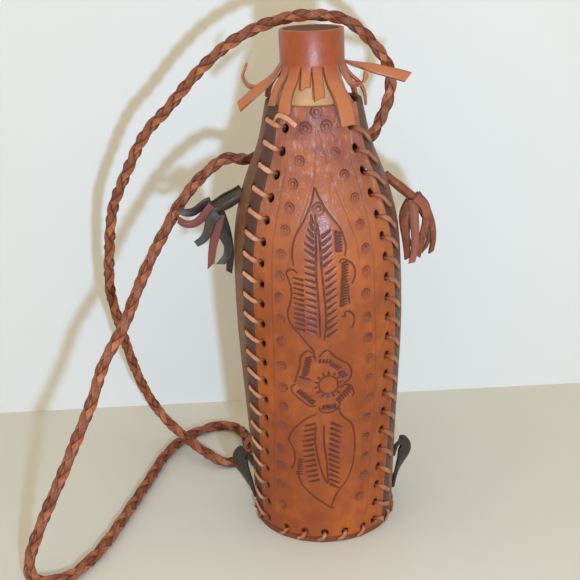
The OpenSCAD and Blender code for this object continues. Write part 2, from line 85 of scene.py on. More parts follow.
# %% Helpers for curves
def curve_through(points, steps):
    """Catmull-Rom curve through points, with so many steps from each to the next."""
    p = np.array(points, float)
    p = np.vstack([2 * p[0] - p[1], p, 2 * p[-1] - p[-2]])
    u = (np.arange(steps) / steps)[:, None]
    runs = [
        0.5
        * (
            2 * p[i]
            + (p[i + 1] - p[i - 1]) * u
            + (2 * p[i - 1] - 5 * p[i] + 4 * p[i + 1] - p[i + 2]) * u**2
            + (3 * p[i] - p[i - 1] - 3 * p[i + 1] + p[i + 2]) * u**3
        )
        for i in range(1, len(p) - 2)
    ]
    return np.vstack(runs + [p[-2][None]])


def unit(v):
    return v / np.maximum(np.linalg.norm(v, axis=-1, keepdims=True), 1e-9)


def headings(path):
    """Direction of a path at each of its points."""
    ahead = np.vstack([path[1:], path[-1:]])
    behind = np.vstack([path[:1], path[:-1]])
    return unit(ahead - behind)


def run_lengths(path):
    """Length along a path from its start to each of its points."""
    return np.concatenate([[0], np.cumsum(np.linalg.norm(np.diff(path, axis=0), axis=1))])


print("a side of a unit square is", run_lengths(np.array([[0, 0], [1, 0]]))[-1], "long")

# %% [markdown]
# ## Camera
#
# The camera's place, tilt and lens were fitted to the photograph together with the outline of the
# walls and the punched holes. It stands a little left of the middle and looks down on the carrier.
# Its turn, dip and roll are made into three directions, because right, up and back are what the
# columns of the camera's own matrix hold.

# %% Camera
CAMERA_PLACE = (-0.0596, -0.6269, 0.3805)
CAMERA_TURN, CAMERA_DIP, CAMERA_ROLL = (math.radians(a) for a in (3.82, 19.72, -2.09))
FOCAL_PIXELS, FRAME_PIXELS, SENSOR_MM = 1067, 580, 36


def camera_axes(turn, dip, roll):
    """Right, up and back directions of a camera."""
    ahead = Vector((math.sin(turn) * math.cos(dip), math.cos(turn) * math.cos(dip), -math.sin(dip)))
    right = ahead.cross(Vector((0, 0, 1))).normalized()
    up = right.cross(ahead)
    tilted = right * math.cos(roll) + up * math.sin(roll)
    return tilted, up * math.cos(roll) - right * math.sin(roll), -ahead


camera_data = bpy.data.cameras.new("camera")
camera_data.sensor_width = SENSOR_MM
camera_data.lens = FOCAL_PIXELS / FRAME_PIXELS * SENSOR_MM
camera = bpy.data.objects.new("camera", camera_data)
bpy.context.scene.collection.objects.link(camera)
axes = camera_axes(CAMERA_TURN, CAMERA_DIP, CAMERA_ROLL)
camera.matrix_world = Matrix.Translation(CAMERA_PLACE) @ Matrix(axes).transposed().to_4x4()
bpy.context.scene.camera = camera
print("lens", round(camera_data.lens, 2))

# %% [markdown]
# ## Materials as expressions
#
# A node material is easier to read as arithmetic. `Reading` wraps one socket, so that
# `1 - mask * 0.5` adds the Math nodes it stands for, and `Recipe` holds a material with one
# Principled shader and one method that makes any other node.

# %% Reading and colour
class Reading:
    """One output of a node tree, with arithmetic on its value."""

    def __init__(self, recipe, socket):
        self.recipe, self.socket = recipe, socket

    def math(self, operation, other, swap=False, clamp=False):
        pair = {0: other, 1: self} if swap else {0: self, 1: other}
        return self.recipe.node("Math", {"operation": operation, "use_clamp": clamp}, pair)

    def __add__(self, other):
        return self.math("ADD", other)

    def __sub__(self, other):
        return self.math("SUBTRACT", other)

    def __rsub__(self, other):
        return self.math("SUBTRACT", other, swap=True)

    def __mul__(self, other):
        return self.math("MULTIPLY", other)

    __radd__ = __add__
    __rmul__ = __mul__

    def clamped(self):
        return self.math("ADD", 0.0, clamp=True)

    def step(self, low, high):
        """Smooth step from 0 at low to 1 at high."""
        inputs = {"Value": self, "From Min": low, "From Max": high}
        return self.recipe.node("MapRange", {"interpolation_type": "SMOOTHSTEP"}, inputs)


def colour(red, green, blue):
    """Linear colour with alpha, from the 0 to 255 values that a screen shows."""
    shares = [c / 255 for c in (red, green, blue)]
    linear = [c / 12.92 if c <= 0.04045 else ((c + 0.055) / 1.055) ** 2.4 for c in shares]
    return (*linear, 1.0)


print("a screen's middle grey is", round(colour(128, 128, 128)[0], 3), "in linear light")


# %% Recipe
class Recipe:
    """A material with one Principled shader."""

    def __init__(self, name):
        self.material = bpy.data.materials.new(name)
        self.material.use_nodes = True
        self.tree = self.material.node_tree
        self.tree.nodes.clear()
        self.shader = self.tree.nodes.new("ShaderNodeBsdfPrincipled")
        out = self.tree.nodes.new("ShaderNodeOutputMaterial")
        self.tree.links.new(self.shader.outputs[0], out.inputs["Surface"])

    def feed(self, socket, value):
        if isinstance(value, Reading):
            self.tree.links.new(value.socket, socket)
        else:
            socket.default_value = value

    def node(self, kind, settings=None, inputs=None, give=0):
        made = self.tree.nodes.new("ShaderNode" + kind)
        for key, value in (settings or {}).items():
            setattr(made, key, value)
        for key, value in (inputs or {}).items():
            self.feed(made.inputs[key], value)
        return Reading(self, made.outputs[give])

    def set(self, **sockets):
        for key, value in sockets.items():
            self.feed(self.shader.inputs[key.replace("_", " ")], value)

    def mix(self, share, first, second):
        return self.node("Mix", {"data_type": "RGBA"}, {0: share, 6: first, 7: second}, give=2)

    def place(self):
        return self.node("TexCoord", give="Object")

    def noise(self, scale, detail=3.0, rough=0.5, stretch=None):
        where = self.place()
        if stretch:
            where = self.node("Mapping", inputs={"Vector": where, "Scale": stretch})
        inputs = {"Vector": where, "Scale": scale, "Detail": detail, "Roughness": rough}
        return self.node("TexNoise", inputs=inputs)

    def attribute(self, name):
        return self.node("Attribute", {"attribute_name": name}, give="Fac")


# %% [markdown]
# ## Leather
#
# Veg-tanned leather has a fine pebbled grain, colour that wanders over a few centimetres, pores,
# and a soft gloss from wax. Every finish on this carrier is one of these, so one function makes
# them all: the light and dark tones, how shiny it is, and how coarse the grain is. The raw cut
# edge and the flesh side are paler and rougher. The long edges of a strip can take a darker
# colour, painted shade where the strip turns away and meets its neighbours. A mesh says where
# these are with attributes.

# %% Leather recipe
GRAIN_MM = 0.7


def leather(name, light, dark, gloss=0.42, grain=1.0, coat=0.0, raw=None, edge=None, patch=26.0,
            edge_shade_from=0.55):
    """Leather in two tones. raw is the colour of the flesh side, and edge is a darker colour
    painted on the long edges as shade, from so far across, where the mesh has those attributes."""
    r = Recipe(name)
    wander = r.noise(patch, 4.0, 0.55)
    mottle = r.noise(patch * 7, 3.0, 0.6)
    tone = (wander * 0.7 + mottle * 0.45 - 0.32).clamped()
    skin = r.mix(tone.step(0.1, 0.62), dark, light)
    pebble = r.node(
        "TexVoronoi",
        {"feature": "DISTANCE_TO_EDGE"},
        {"Vector": r.place(), "Scale": 1 / (GRAIN_MM * MM), "Randomness": 1.0},
    )
    crease = 1 - pebble.step(0.0, 0.12)
    pore = r.noise(1600.0, 2.0, 0.6)
    worn = r.noise(55.0, 4.0, 0.6)
    skin = r.mix(crease * 0.18 * grain, skin, dark)
    shine = gloss + (worn - 0.5) * 0.4 + crease * 0.1
    height = (1 - crease) * 0.5 * grain + pore * 0.35 * grain + worn * 1.2
    # Painted shade: the long edges of a strip, where it turns away and meets its neighbours, darken
    if edge:
        skin = r.mix(r.attribute("edge").step(edge_shade_from, 0.98) * 0.8, skin, edge)
    if raw:
        flesh = r.attribute("raw")
        fibre = r.noise(900.0, 3.0, 0.7)
        skin = r.mix(flesh, skin, r.mix(fibre, raw, tuple(c * 0.72 for c in raw[:3]) + (1.0,)))
        shine = shine + flesh * 0.3
    normal = r.node("Bump", inputs={"Strength": 0.6, "Distance": 0.00022, "Height": height})
    r.set(Base_Color=skin, Roughness=shine.clamped(), Normal=normal)
    r.set(Specular_IOR_Level=0.38, Coat_Weight=coat, Coat_Roughness=0.3)
    r.skin, r.shine, r.height = skin, shine, height
    return r


# %% [markdown]
# ## Making meshes
#
# Almost every piece is a strip or a sheet, so two makers cover them. `strip` starts from a grid,
# rolls it round a section, and carries that section along a path: lace, braid, fringe. The other,
# `sheet_between`, comes with the walls: it starts from a grid in their own coordinates, azimuth
# and height, and has its holes punched while it is flat, before it is bent round.

# %% Strip maker
def strip(path, guide, section, grow=None, bow=0.0, slant=0.0, flip=False, mark=0.0):
    """Closed strip along path. section holds (across, out) pairs, and across lies along guide.
    grow widens it, bow curves it across, slant cuts its end at an angle, flip puts the flesh side
    in front, and mark is a value at each of its points that the material can read."""
    path = np.array(path, float)
    ahead = headings(path)
    guide = np.broadcast_to(np.array(guide, float), path.shape)
    across = unit(guide - (guide * ahead).sum(1, keepdims=True) * ahead)
    out = np.cross(across, ahead)
    section = np.array(section, float)
    grow = np.ones(len(path)) if grow is None else np.array(grow, float)
    bow, mark = (np.broadcast_to(np.array(value, float), len(path)) for value in (bow, mark))
    wide = section[None, :, 0] * grow[:, None]
    stand = section[None, :, 1] - bow[:, None] * wide**2 / 2
    places = path[:, None] + wide[..., None] * across[:, None] + stand[..., None] * out[:, None]
    half = np.abs(section[:, 0]).max()
    places[-1] += (section[:, :1] / half) * slant * ahead[-1]
    along = run_lengths(path)
    rings, sides = len(path), len(section)
    bm = bmesh.new()
    edge, raw, marked = (bm.verts.layers.float.new(name) for name in ("edge", "raw", "mark"))
    bmesh.ops.create_grid(bm, x_segments=rings - 1, y_segments=sides, size=0.5)
    layer = bm.loops.layers.uv.new("strip")
    ring = {v: round((v.co.x + 0.5) * (rings - 1)) for v in bm.verts}
    side = {v: round((v.co.y + 0.5) * sides) for v in bm.verts}
    for face in bm.faces:
        for loop in face.loops:
            loop[layer].uv = (along[ring[loop.vert]] * MM, side[loop.vert] / sides)
    for v in bm.verts:
        k = side[v] % sides
        v.co = places[ring[v], k] * MM
        v[edge] = abs(section[k, 0]) / half
        v[raw] = float((section[k, 1] < 0) != flip)
        v[marked] = mark[ring[v]]
    bmesh.ops.remove_doubles(bm, verts=bm.verts, dist=1e-6)
    bmesh.ops.holes_fill(bm, edges=[e for e in bm.edges if e.is_boundary], sides=0)
    bmesh.ops.recalc_face_normals(bm, faces=bm.faces)
    return bm


# %% Sections and joining
def flat_section(width, thick, soft=0.35, cuts=1):
    """Section of a flat strip with rounded edges, with so many points across its faces."""
    w, t = width / 2, thick / 2
    c = t * soft * 2
    inner = np.linspace(w - c, c - w, cuts + 2)
    upper = [(x, t * (1.12 - 0.12 * (x / w) ** 2)) for x in inner]
    lower = [(-x, -t) for x in inner]
    return [(-w, c - t)] + lower + [(w, c - t), (w, t - c)] + upper + [(-w, t - c)]


def round_section(radius, sides=8):
    turns = [2 * math.pi * (k + 0.5) / sides for k in range(sides)]
    return [(radius * math.cos(a), radius * math.sin(a)) for a in turns]


def joined(parts):
    """One bmesh out of several."""
    whole = bmesh.new()
    for name in ("edge", "raw", "mark"):
        whole.verts.layers.float.new(name)
    for part in parts:
        mesh = bpy.data.meshes.new("part")
        part.to_mesh(mesh)
        part.free()
        whole.from_mesh(mesh)
        bpy.data.meshes.remove(mesh)
    return whole


print("a flat strip has", len(flat_section(3, 1)), "sides and a round one", len(round_section(1)))


# %% Finishing a piece
def new_object(name, bm):
    """Object in the scene whose mesh is a bmesh, which is used up."""
    mesh = bpy.data.meshes.new(name)
    bm.to_mesh(mesh)
    bm.free()
    made = bpy.data.objects.new(name, mesh)
    bpy.context.scene.collection.objects.link(made)
    return made


def settled_mesh(made):
    """Mesh of an object with its modifiers worked out."""
    bpy.context.view_layer.update()
    depsgraph = bpy.context.evaluated_depsgraph_get()
    return bpy.data.meshes.new_from_object(made.evaluated_get(depsgraph))


def store(mesh, name, values):
    """Gives each vertex a value that the material can read."""
    values = np.asarray(values, np.float32)
    mesh.attributes.new(name, "FLOAT", "POINT").data.foreach_set("value", values)


def finish_piece(name, bm, recipe, body, node, sharp=50):
    """Makes a bmesh a named piece that rides on a body and stands for its CAD node."""
    piece = new_object(name, bm)
    mesh = piece.data
    mesh.materials.append(recipe.material)
    mesh.shade_smooth()
    mesh.set_sharp_from_angle(angle=math.radians(sharp))
    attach(piece, body)
    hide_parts(node)
    print(name, len(mesh.polygons), "faces")
    return piece


# %% [markdown]
# ## The strap
#
# The strap is a round braid of four strands, about 6.6 mm thick, knotted inside the back wall at
# both ends. The photograph shows all of it: out of the left hole, down to the table, round a loop
# there, and up over the back of the cap to the right hole. Four strands braid over and under each
# other when two turn one way and two the other, and each pair rises where the other sinks. They
# are braided round a plain core, which keeps the strap round.

# %% Strap route
STRAP_ROUTE = [
    (-23.6, 39.3, 233), (-30, 42.2, 232), (-39, 39, 231), (-54, 31, 233.5), (-70, 24, 223.5),
    (-83, 16, 210), (-94, 8, 194), (-103, 0, 180), (-113, -9, 161), (-121, -16, 144),
    (-134, -24, 124), (-143, -32, 102), (-154, -40, 80), (-164, -47, 60), (-174, -53, 41),
    (-183, -58, 22), (-186.5, -62, 10), (-183, -68, 4.2), (-172, -70, 3.5), (-160, -64, 3.5),
    (-146, -40, 3.5), (-133, -1, 3.5), (-120, 42, 3.5), (-109, 79, 3.5), (-95, 104, 3.5),
    (-80, 117, 3.5), (-63, 121, 3.5), (-51, 108, 3.5), (-48, 84, 3.5), (-54, 65, 3.5),
    (-66, 62, 4), (-80, 73, 7.5), (-95, 93, 11.5), (-107, 107, 17), (-117, 113, 30),
    (-125, 108, 52), (-131, 100, 80), (-135.5, 92, 108), (-138, 84, 134), (-135, 75, 165),
    (-129.5, 67, 195), (-119, 60, 219), (-103.5, 53, 247), (-86.5, 48, 265), (-69.5, 44, 284),
    (-49.5, 40, 301.5), (-27.5, 38, 313), (-2.5, 37, 318.5), (22, 36, 315.8), (36.5, 35, 305.5),
    (48.5, 33.5, 289.8), (51.5, 32, 278), (49.8, 31, 266), (45, 31, 254), (40, 34, 243.5),
    (35, 39.5, 236.5), (29, 43, 233.5), (23.6, 39.3, 233),
]
STRAP_ENDS = [(-14.9, 24.8, 233), (14.9, 24.8, 233)]
BRAID_PITCH = 44.0
BRAID_CORE, BRAID_WAVE, HEART_R = 1.9, 0.5, 1.75
STRAND_SECTION = flat_section(4.5, 1.5, 0.45, 3)
RING_STEP = 1.6
centre = curve_through([STRAP_ENDS[0]] + STRAP_ROUTE + [STRAP_ENDS[1]], 12)
along = run_lengths(centre)
even = np.linspace(0, along[-1], int(along[-1] / RING_STEP))
centre = np.stack([np.interp(even, along, centre[:, k]) for k in range(3)], axis=1)


# %% Braiding
def carried_side(path):
    """A direction square to the path that turns as little as it can."""
    side, sides = UP, []
    for f in headings(path):
        side = unit(side - side.dot(f) * f)
        sides.append(side)
    return np.array(sides)


side = carried_side(centre)
other = np.cross(headings(centre), side)
phase = 2 * math.pi * even / BRAID_PITCH
strands = [strip(centre, side, round_section(HEART_R, 10))]
# Share of painted shade at each point: the core, seen only between strands, and one strand pair
painted_shades = [1.0] * len(strands[0].verts)
for k in range(4):
    way = 1 if k < 2 else -1
    turn = way * phase + math.pi * (k % 2) + (math.pi / 2 if way < 0 else 0)
    reach = BRAID_CORE + way * BRAID_WAVE * np.sin(2 * phase)
    outward = side * np.cos(turn)[:, None] + other * np.sin(turn)[:, None]
    line = centre + outward * reach[:, None]
    ahead = headings(line)
    strands.append(strip(line, np.cross(outward, ahead), STRAND_SECTION, bow=0.3))
    painted_shades += [0.0 if way > 0 else 1.0] * len(strands[-1].verts)
print(len(strands) - 1, "strands round a core, each with", len(centre), "rings")

# %% Strap finish
# The edge colour is painted shade where the strands meet
braid = leather("braid_leather", colour(216, 134, 82), colour(156, 82, 50), 0.42, 0.6,
                edge=colour(62, 28, 32), patch=70.0, edge_shade_from=0.74)
plait = joined(strands)
# Where it lies on the table, the leather is pressed flat
for v in plait.verts:
    v.co.z = max(v.co.z, 0.0)
strap = finish_piece("braided_strap", plait, braid, "carrier", "strap", 60)
store(strap.data, "painted_shade", painted_shades)
# Painted shade darkens the core and one pair of strands
braid.set(Base_Color=braid.mix(braid.attribute("painted_shade") * 0.5, braid.skin, colour(106, 60, 46)))

# %% [markdown]
# ## Floor, wall and light
#
# The carrier stands on a pale table in front of a white wall. Both are plain, and they only catch
# the shadows. The photograph was lit by a small cool flash, a little right of the lens and below
# it, so that every shadow on the wall lies up and to the left. The room round it is warm, which
# leaves those shadows yellow. To the camera the room itself looks white, and the wall is clear from
# behind, so that the carrier's back can be seen.

# %% Stage
def plain_finish(name, tint, rough):
    r = Recipe(name)
    r.set(Base_Color=tint, Roughness=rough)
    return r


def stage_sheet(name, corners, recipe, facing):
    bm = bmesh.new()
    bmesh.ops.create_grid(bm, x_segments=1, y_segments=1, size=0.5)
    for v in bm.verts:
        v.co = corners[(v.co.x > 0) + 2 * (v.co.y > 0)]
    bm.normal_update()
    if next(iter(bm.faces)).normal.dot(Vector(facing)) < 0:
        bmesh.ops.reverse_faces(bm, faces=bm.faces)
    sheet = new_object(name, bm)
    sheet.data.materials.append(recipe.material)
    print(name, "faces", facing)


table_finish = plain_finish("table", colour(214, 210, 200), 0.6)
wall_finish = plain_finish("wall", colour(228, 229, 230), 0.85)
rear = wall_finish.node("NewGeometry", give="Backfacing")
seen = wall_finish.node("LightPath", give="Is Camera Ray")
wall_finish.set(Alpha=1 - rear * seen)
WALL_NEAR, WALL_SLOPE, WALL_TALL, WALL_WIDE = 0.1695, -0.031, 2.5, 3.0
table_corners = [(x, y, 0) for y in (-WALL_WIDE, WALL_WIDE) for x in (-WALL_WIDE, WALL_WIDE)]
wall_corners = [
    (side * WALL_WIDE, WALL_NEAR + side * WALL_SLOPE * WALL_WIDE, height)
    for height in (0, WALL_TALL)
    for side in (-1, 1)
]
stage_sheet("table", table_corners, table_finish, (0, 0, 1))
stage_sheet("backdrop", wall_corners, wall_finish, (0, -1, 0))


# %% Lamp and room
def lamp(name, place, aim, size, watts, tint):
    data = bpy.data.lights.new(name, "AREA")
    data.size, data.energy, data.color = size, watts, tint
    made = bpy.data.objects.new(name, data)
    made.location = place
    made.rotation_euler = (Vector(aim) - Vector(place)).to_track_quat("-Z", "Y").to_euler()
    bpy.context.scene.collection.objects.link(made)


lamp("flash", (0.01, -0.67, 0.29), (0, 0, 0.17), 0.024, 2.9, (0.68, 1.0, 1.42))
world = bpy.data.worlds.new("room")
bpy.context.scene.world = world
world.use_nodes = True
room = world.node_tree
background = room.nodes["Background"]
background.inputs["Strength"].default_value = 0.92
light_path, room_tint = (room.nodes.new("ShaderNode" + kind) for kind in ("LightPath", "Mix"))
room_tint.data_type = "RGBA"
room_tint.inputs[6].default_value = (1, 0.864, 0.58, 1)
room_tint.inputs[7].default_value = colour(232, 232, 230)
room.links.new(light_path.outputs["Is Camera Ray"], room_tint.inputs[0])
room.links.new(room_tint.outputs[2], background.inputs["Color"])
bpy.context.scene.view_settings.view_transform = "Standard"
print("one lamp and a room of strength", background.inputs["Strength"].default_value)

# %% [markdown]
# ## The walls' own coordinates
#
# The four walls share one outline, a radius for each height, and a small turn of the whole cover
# near its foot. A place on them is an azimuth, a height and how far it stands out. Every hole,
# lace and tassel asks these functions where the leather is, so nothing floats off the walls, and
# the holes keep the same spacing that a lacing punch gives on the bench.

# %% Wall outline
WALL_TOP, BODY_R, LEATHER, BASE_T = 274.0, 51.6, 3.0, 3.5
PROFILE = [
    (0, 0.872), (0.18, 0.915), (0.365, 0.967), (0.51, 1), (0.64, 0.998),
    (0.73, 0.962), (0.82, 0.842), (0.91, 0.658), (1, 0.55),
]
SEAMS = [
    (0, 57.9), (0.18, 57.5), (0.365, 56.1), (0.585, 54.3), (0.675, 53.8),
    (0.78, 51.5), (0.89, 50.8), (1, 51.4),
]
TWIST = [(0, -11), (0.1, -8.5), (0.2, -5.5), (0.3, -2.2), (0.38, -0.6), (0.46, 0), (1, 0)]


def wall_r(z):
    return BODY_R * smooth_table(PROFILE, np.asarray(z, float) / WALL_TOP)


def wall_lean(z):
    z = np.asarray(z, float)
    return np.arctan((wall_r(z + 0.5) - wall_r(z - 0.5)))


def listed(table, z):
    xs, ys = zip(*table)
    return np.interp(np.asarray(z, float) / WALL_TOP, xs, ys)


def seam(z):
    return listed(SEAMS, z)


def twist(z):
    return listed(TWIST, z)


print("the foot is", round(float(wall_r(BASE_T)), 1), "mm in radius, the belly", BODY_R)


# %% Places on a wall
def ray(az):
    """Direction straight out of the axis at an azimuth, which is 0 at the front."""
    a = np.radians(az)
    return np.stack([np.sin(a), -np.cos(a), np.zeros_like(a)], axis=-1)


def wall_normal(az, z):
    lean = wall_lean(z)[..., None]
    return np.cos(lean) * ray(az) - np.sin(lean) * UP


def skin_place(az, z, out=0.0):
    """Place on the walls' outside, out millimetres off it."""
    az, z = np.broadcast_arrays(np.asarray(az, float), np.asarray(z, float))
    off = np.asarray(out)[..., None] * wall_normal(az, z)
    return wall_r(z)[..., None] * ray(az) + z[..., None] * UP + off


def turn_of(length, z):
    """Degrees that a length along the wall takes up at a height."""
    return np.degrees(length / wall_r(z))


print("a place on the belly", skin_place(0, WALL_TOP / 2).round(1))

# %% Hole places
PANEL_MARGIN, GUSSET_MARGIN = 7.0, 11.0
HOLES, FIRST_HOLE, HOLE_STEP, HOLE_R, PULLED_R = 21, 8.0, 12.7, 2.4, 2.7
LEVEL_RISE, SLANT_FALL, LOWEST_GUSSET_HOLE = 4.0, 13.0, 11.0
FOOT_PLACES, FOOT_SKIPS, FOOT_HOLE_UP, FOOT_LEAN = 22, (3, 8, 14, 19), 7.0, 5.0


def seam_az(mid, way, off, z):
    """Azimuth off millimetres past a seam of the wall whose middle is at mid."""
    return mid + way * (seam(z) + turn_of(off, z)) + twist(z)


def hole_z(i):
    return FIRST_HOLE + i * HOLE_STEP


def gusset_z(i, way):
    return hole_z(i) + LEVEL_RISE if way < 0 else max(hole_z(i) - SLANT_FALL, LOWEST_GUSSET_HOLE)


FOOT_TURN = float(twist(FOOT_HOLE_UP))
FOOT_AZ = [k * 360 / FOOT_PLACES + FOOT_TURN for k in range(FOOT_PLACES) if k not in FOOT_SKIPS]
print(HOLES, "holes up a seam,", len(FOOT_AZ), "round the foot")

# %% [markdown]
# ## Carving on the front
#
# The maker cut the outlines with a knife, pressed the veins and petals with small dashes, and
# stamped a row of round rosettes inside each seam. The drawing is kept as strokes, in millimetres
# across and up the wall. Each point of the mesh learns how far it is from the nearest stroke, so
# the grooves can be pressed into the shape and darkened in the material from the same number.

# %% Carved lines
LINES = [
    # upper leaf, right side, tip to scroll
    [(-4.5, 231), (-2.5, 226), (1, 219), (5, 213.5), (9, 208), (11, 203), (12.2, 197), (11.5, 192)],
    [(8, 188.5), (9.5, 190), (12, 189.3), (15.5, 186.8), (17.3, 183), (17.3, 179), (15.5, 175)],
    [(13.2, 174), (12.8, 169), (13.6, 163)],
    [(9, 155.5), (11, 154.8), (10.5, 157.5), (13, 158), (15.8, 155.5), (16.6, 151.5), (15, 147.5)],
    # upper leaf, left side, tip to the flower
    [(-4.5, 231), (-6.8, 223), (-10, 216.5), (-13.5, 210), (-17, 204.5), (-19.2, 198), (-19.7, 192),
     (-19, 187)],
    [(-17.3, 183), (-19.5, 184.6), (-22, 184.2), (-23.7, 182), (-22.3, 178), (-21, 173), (-21, 168),
     (-22.3, 163), (-23.7, 158.5), (-23.2, 153.5), (-20.8, 149), (-17.5, 145.5), (-14.8, 142),
     (-12, 138.5), (-9.2, 135), (-8, 131)],
    # spine of the upper leaf
    [(-5.2, 216), (-5.4, 205), (-5.5, 195), (-6, 185), (-5.6, 175), (-5, 165), (-4.6, 152),
     (-4.4, 143)],
    [(-4.4, 211), (-3.4, 203), (-3, 195), (-2.6, 185), (-1.6, 171), (-0.8, 158), (-1, 148),
     (-2.2, 141.5)],
    # flower, petal outlines
    [(-5.2, 130.5), (-2.6, 133.6), (0.6, 134), (3.6, 130.5), (7.5, 127.4), (11.5, 125), (14.2, 121),
     (14.4, 116.5), (12.5, 113.3), (9.5, 112)],
    [(9, 110.5), (12, 110.8), (15, 108.5), (16.2, 105), (15.6, 102)],
    [(7.6, 100), (7, 96.5), (4, 94), (0, 93), (-3.5, 93.8), (-5, 96.5)],
    [(-7.5, 97.8), (-11, 97.5), (-15, 100.5), (-18.5, 103), (-22, 106.5), (-22.6, 110),
     (-20.4, 111.8)],
    [(-20.2, 113.5), (-19, 118.5), (-17.4, 123.5), (-17, 128.5), (-15.2, 132.4), (-12, 134.2),
     (-9.2, 132.6), (-8, 129)],
    # lower leaf, left side
    [(-6.8, 92), (-11, 90), (-15.5, 86.5), (-19.6, 81.5), (-22.6, 76), (-23, 72), (-20.8, 69),
     (-19.2, 65.5), (-18, 60.5), (-18.4, 56.5), (-19.8, 52.5)],
    [(-15.4, 50), (-14.4, 46), (-12, 41.5), (-8, 37.3), (-3.5, 33.2), (1.5, 29.6), (6, 26.2),
     (8.6, 25)],
    # lower leaf, right side
    [(6.6, 97), (8.2, 92), (11.5, 88), (15.6, 84), (17.8, 78.5), (18.8, 73), (19.6, 66), (19.4, 58),
     (18, 50), (15.8, 44.5)],
    [(15.2, 43), (12.4, 39.5), (10, 35.5), (8.2, 30), (7.2, 26)],
    # spine of the lower leaf
    [(-6.6, 84), (-6.4, 75), (-5, 67), (-2.6, 58.5), (0, 50.5), (3.4, 43.5)],
    [(-1.6, 84), (-0.8, 73), (1, 64), (2.6, 54.5), (4, 44)],
]
print(len(LINES), "cut lines with", sum(map(len, LINES)), "points")

# %% Veins
# Each dash is where it starts, where it ends and how wide it is
DASHES = []
for z in np.arange(146.0, 213.0, 3.9):
    reach = 12.4 - max(0.0, z - 196) * 0.3
    DASHES.append(((-7.0, z), (-reach, z + (3.8 if z > 190 else 1.9)), 1.0))
for z in np.arange(147.5, 180.0, 3.1):
    DASHES.append(((-14.0, z), (-19.6, z + 1.4), 0.85))
for z in np.arange(143.5, 208.0, 4.3):
    DASHES.append(((0.2 if z < 185 else -1.6, z), (5.6 if z < 185 else 3.6, z + 3.8), 1.0))
for z in np.arange(162.0, 189.0, 1.7):
    DASHES.append(((8.4 + (z - 162) * 0.06, z), (11.8 + (z - 162) * 0.06, z + 0.9), 0.95))
for z in np.arange(195.5, 207.0, 1.7):
    DASHES.append(((6.4, z), (9.8, z - 0.6), 0.95))
for z in np.arange(46.0, 86.0, 3.6):
    lean = max(0.0, 70 - z) * 0.22
    DASHES.append(((-7.6 + lean, z), (-13.6 + lean, z - 1.8), 0.95))
for z in np.arange(42.5, 86.0, 3.6):
    lean = max(0.0, 66 - z) * 0.1
    DASHES.append(((3.2 + lean, z), (9.4 + lean, z - 3.4), 0.95))
for z in np.arange(49.0, 60.0, 1.8):
    DASHES.append(((-15.8, z), (-12.4, z + 0.4), 0.7))
print(len(DASHES), "vein dashes")

# %% Petals
PETAL_BANDS = [
    # from, to, dashes, length, direction of a dash in degrees
    ((-11.4, 130), (-13.6, 118.4), 8, 4.0, 24),
    ((-4.8, 128), (1.2, 127.4), 4, 2.0, 70),
    ((2.6, 125.6), (7.0, 122.4), 4, 2.4, 40),
    ((8.0, 119.6), (10.6, 116.6), 4, 3.0, 20),
    ((-16, 116.4), (-11.5, 115.4), 3, 2.6, -20),
    ((-17.6, 107.6), (-8.6, 100.2), 9, 3.0, 48),
    ((-2.6, 97), (4.6, 97.4), 6, 2.8, 86),
    ((6.6, 100.4), (13.8, 107.8), 7, 3.2, -52),
]
FLOWER = np.array([0.2, 111.6])
HEART_RING, STAMEN_RING, STAMENS, STAMEN_REACH = 5.9, 8.2, 14, 0.9


def towards(turn):
    return np.array([math.cos(turn), math.sin(turn)])


def dash_about(middle, half, width):
    DASHES.append((tuple(middle - half), tuple(middle + half), width))


for start, end, count, length, lean in PETAL_BANDS:
    for middle in np.linspace(start, end, count):
        dash_about(middle, length / 2 * towards(math.radians(lean)), 0.9)
for k in range(STAMENS):
    out = towards(2 * math.pi * k / STAMENS + 0.2)
    dash_about(FLOWER + STAMEN_RING * out, STAMEN_REACH * out, 0.75)
LINES.append([FLOWER + HEART_RING * towards(a) for a in np.linspace(0, 2 * math.pi, 13)])
print(len(DASHES), "dashes with the flower's")

# %% Rosettes and scribed lines
ROSETTES = [
    (-12.3, 244.8), (-17, 232.5), (-19.8, 219.5), (-23.2, 207), (-26.6, 193), (-28, 179.5),
    (-29, 166.5), (-28.8, 153), (-28.6, 139), (-28.9, 122.8), (-28.2, 108.5), (-27.6, 95),
    (-28, 81.5), (-28.8, 65), (-28, 52.5), (-28, 38.3), (-25.6, 23.6),
    (8.8, 248.5), (13.6, 236), (19.5, 223), (21.8, 208), (25, 194), (25.2, 180.5), (24.6, 167),
    (25.2, 152), (25.8, 138.8), (27.3, 124.6), (27.4, 111), (28.3, 98), (27, 84.8), (27.2, 71),
    (27.8, 57.5), (27.6, 44.5), (25.5, 30.5),
]
BIG_ROSETTES = [(-8, 262.5), (4.6, 263.2), (-1, 271.5), (-3.1, 219.4)]
# Lines drawn with a blunt point, which only shine
SCRIBED = [
    [(-1.4, 262), (-2.5, 250), (-4.2, 238), (-9, 224), (-15.5, 208), (-19.8, 196), (-23.2, 184)],
    [(-0.4, 262), (2.2, 250), (5.2, 238), (9.2, 226), (14.5, 212), (18.6, 200), (20.6, 188)],
    [(-21, 240), (-26, 222), (-30.6, 204), (-33.2, 184), (-34, 160), (-34.2, 130), (-34, 100),
     (-33.6, 70), (-33, 40), (-32, 14)],
    [(18.5, 244), (24, 226), (28.4, 206), (30.6, 184), (31.2, 160), (31.8, 130), (32.2, 100),
     (32.4, 70), (32.2, 40), (31, 14)],
]
print(len(ROSETTES), "rosettes,", len(BIG_ROSETTES), "big ones and", len(SCRIBED), "scribed lines")


# %% Distance to the strokes
def press(field, depths, near, share, strength):
    """Keeps, at each near point, the stroke that presses it the most."""
    part, part_depth = field[near], depths[near]
    strength = np.broadcast_to(strength, share.shape)
    better = strength * np.exp(-(share**2)) > part_depth * np.exp(-(part**2))
    part[better], part_depth[better] = share[better], strength[better]
    field[near], depths[near] = part, part_depth


